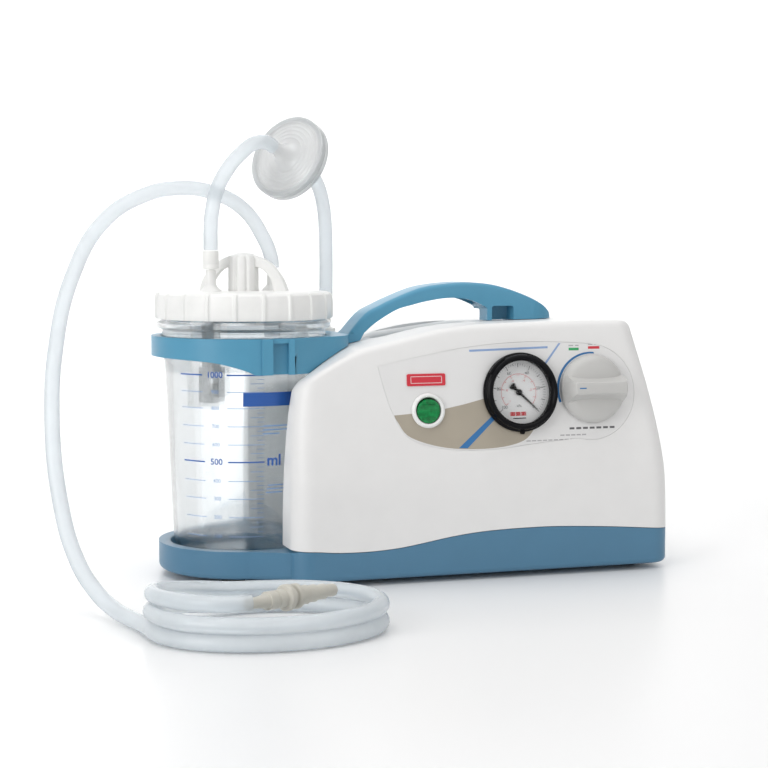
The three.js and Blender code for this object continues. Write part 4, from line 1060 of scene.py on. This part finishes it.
for y in (-5.6, -4.2, 4.2, 5.6):
    join_in(rocker, box_mesh(-4.4, 4.4, y - 0.25, y + 0.25, 1.3, 2.1, 0.15))
rocker.transform(Matrix.Translation((0, 0, -MM)) @ Matrix.Rotation(math.radians(ROCKER_TILT), 4, "X")
                 @ Matrix.Translation((0, 0, MM)))
softened(finished("green_switch_rocker", on_panel(rocker, SWITCH_X, SWITCH_Z), switch_green,
                  "switch_rocker_body", sharp=30, stands_for=["switch_rocker"]), 0.35)


# ---------------------------------------------------------------- parts kept from the frame
# Feet, screws, barb, socket, float, gasket, and the motor and pump inside keep their shapes. Each
# gets the finish of its own material: rubber, bright or cast metal, nylon, brass or silicone.
def metal(name, colour, roughness, brushed=(1, 1, 1)):
    """A metal with a fine grain, drawn out along one way where it is brushed or turned."""
    paint = moulded(name, colour, roughness, grain=0.15, grain_size=500, mottle=0.08, sheen_bump=0.15)
    tree = paint.node_tree
    tree.nodes["Principled BSDF"].inputs["Metallic"].default_value = 1.0
    noises = [n for n in tree.nodes if n.type == "TEX_NOISE"]
    grain_node = next(n for n in noises if n.inputs["Scale"].default_value > 100)
    stretch = tree.nodes.new("ShaderNodeMapping")
    stretch.inputs["Scale"].default_value = brushed
    place = next(n for n in tree.nodes if n.type == "TEX_COORD")
    tree.links.new(place.outputs["Object"], stretch.inputs["Vector"])
    tree.links.new(stretch.outputs["Vector"], grain_node.inputs["Vector"])
    return paint


rubber = moulded("foot_black_rubber", (0.022, 0.022, 0.023), 0.78, grain=0.4, grain_size=320, mottle=0.15,
                 sheen_bump=0.3)
barb_white = moulded("barb_white_nylon", (0.82, 0.82, 0.80), 0.35, grain=0.08, grain_size=450)
socket_black = moulded("socket_black_nylon", (0.016, 0.016, 0.018), 0.42, grain=0.15, grain_size=500,
                       mottle=0.15)
piston_grey = moulded("piston_grey_ptfe", (0.31, 0.31, 0.30), 0.5, grain=0.1, grain_size=400)
stem_clear = moulded("float_stem_milky", (0.66, 0.67, 0.67), 0.3, grain=0.08, grain_size=300,
                     transmission=0.2, solid=0.7)
float_white = moulded("float_white_foam", (0.86, 0.86, 0.84), 0.5, grain=0.3, grain_size=260)
steel = metal("bright_steel", (0.60, 0.61, 0.63), 0.28, brushed=(0.1, 1, 1))
cast = metal("cast_alloy", (0.45, 0.46, 0.47), 0.5)
brass = metal("turned_brass", (0.68, 0.50, 0.20), 0.3, brushed=(1, 1, 0.1))
soft_silicone = moulded("gasket_silicone", (0.74, 0.78, 0.80), 0.4, transmission=0.25, ior=1.41)
kept = {"rubber_foot": rubber, "vibration_mount": rubber, "case_screw": steel, "socket_pin": steel,
        "motor_": steel, "crank": steel, "crankcase": cast, "pump_": cast, "cylinder_head": cast,
        "motor_stator": cast, "piston_rod": cast, "piston_cup": piston_grey, "cooling_fan": socket_black,
        "internal_hose": soft_silicone, "inlet_barb": barb_white, "mains_socket": socket_black,
        "fuse_drawer": socket_black,
        "regulator_spindle": brass, "regulator_valve": brass, "lid_gasket": soft_silicone,
        "float_cage": stem_clear, "float": float_white}
for name, part in node.items():
    fits = [start for start in kept if name.startswith(start)]
    if fits:
        paint = kept[max(fits, key=len)]
        for holder in part.material_slots:
            holder.material = paint
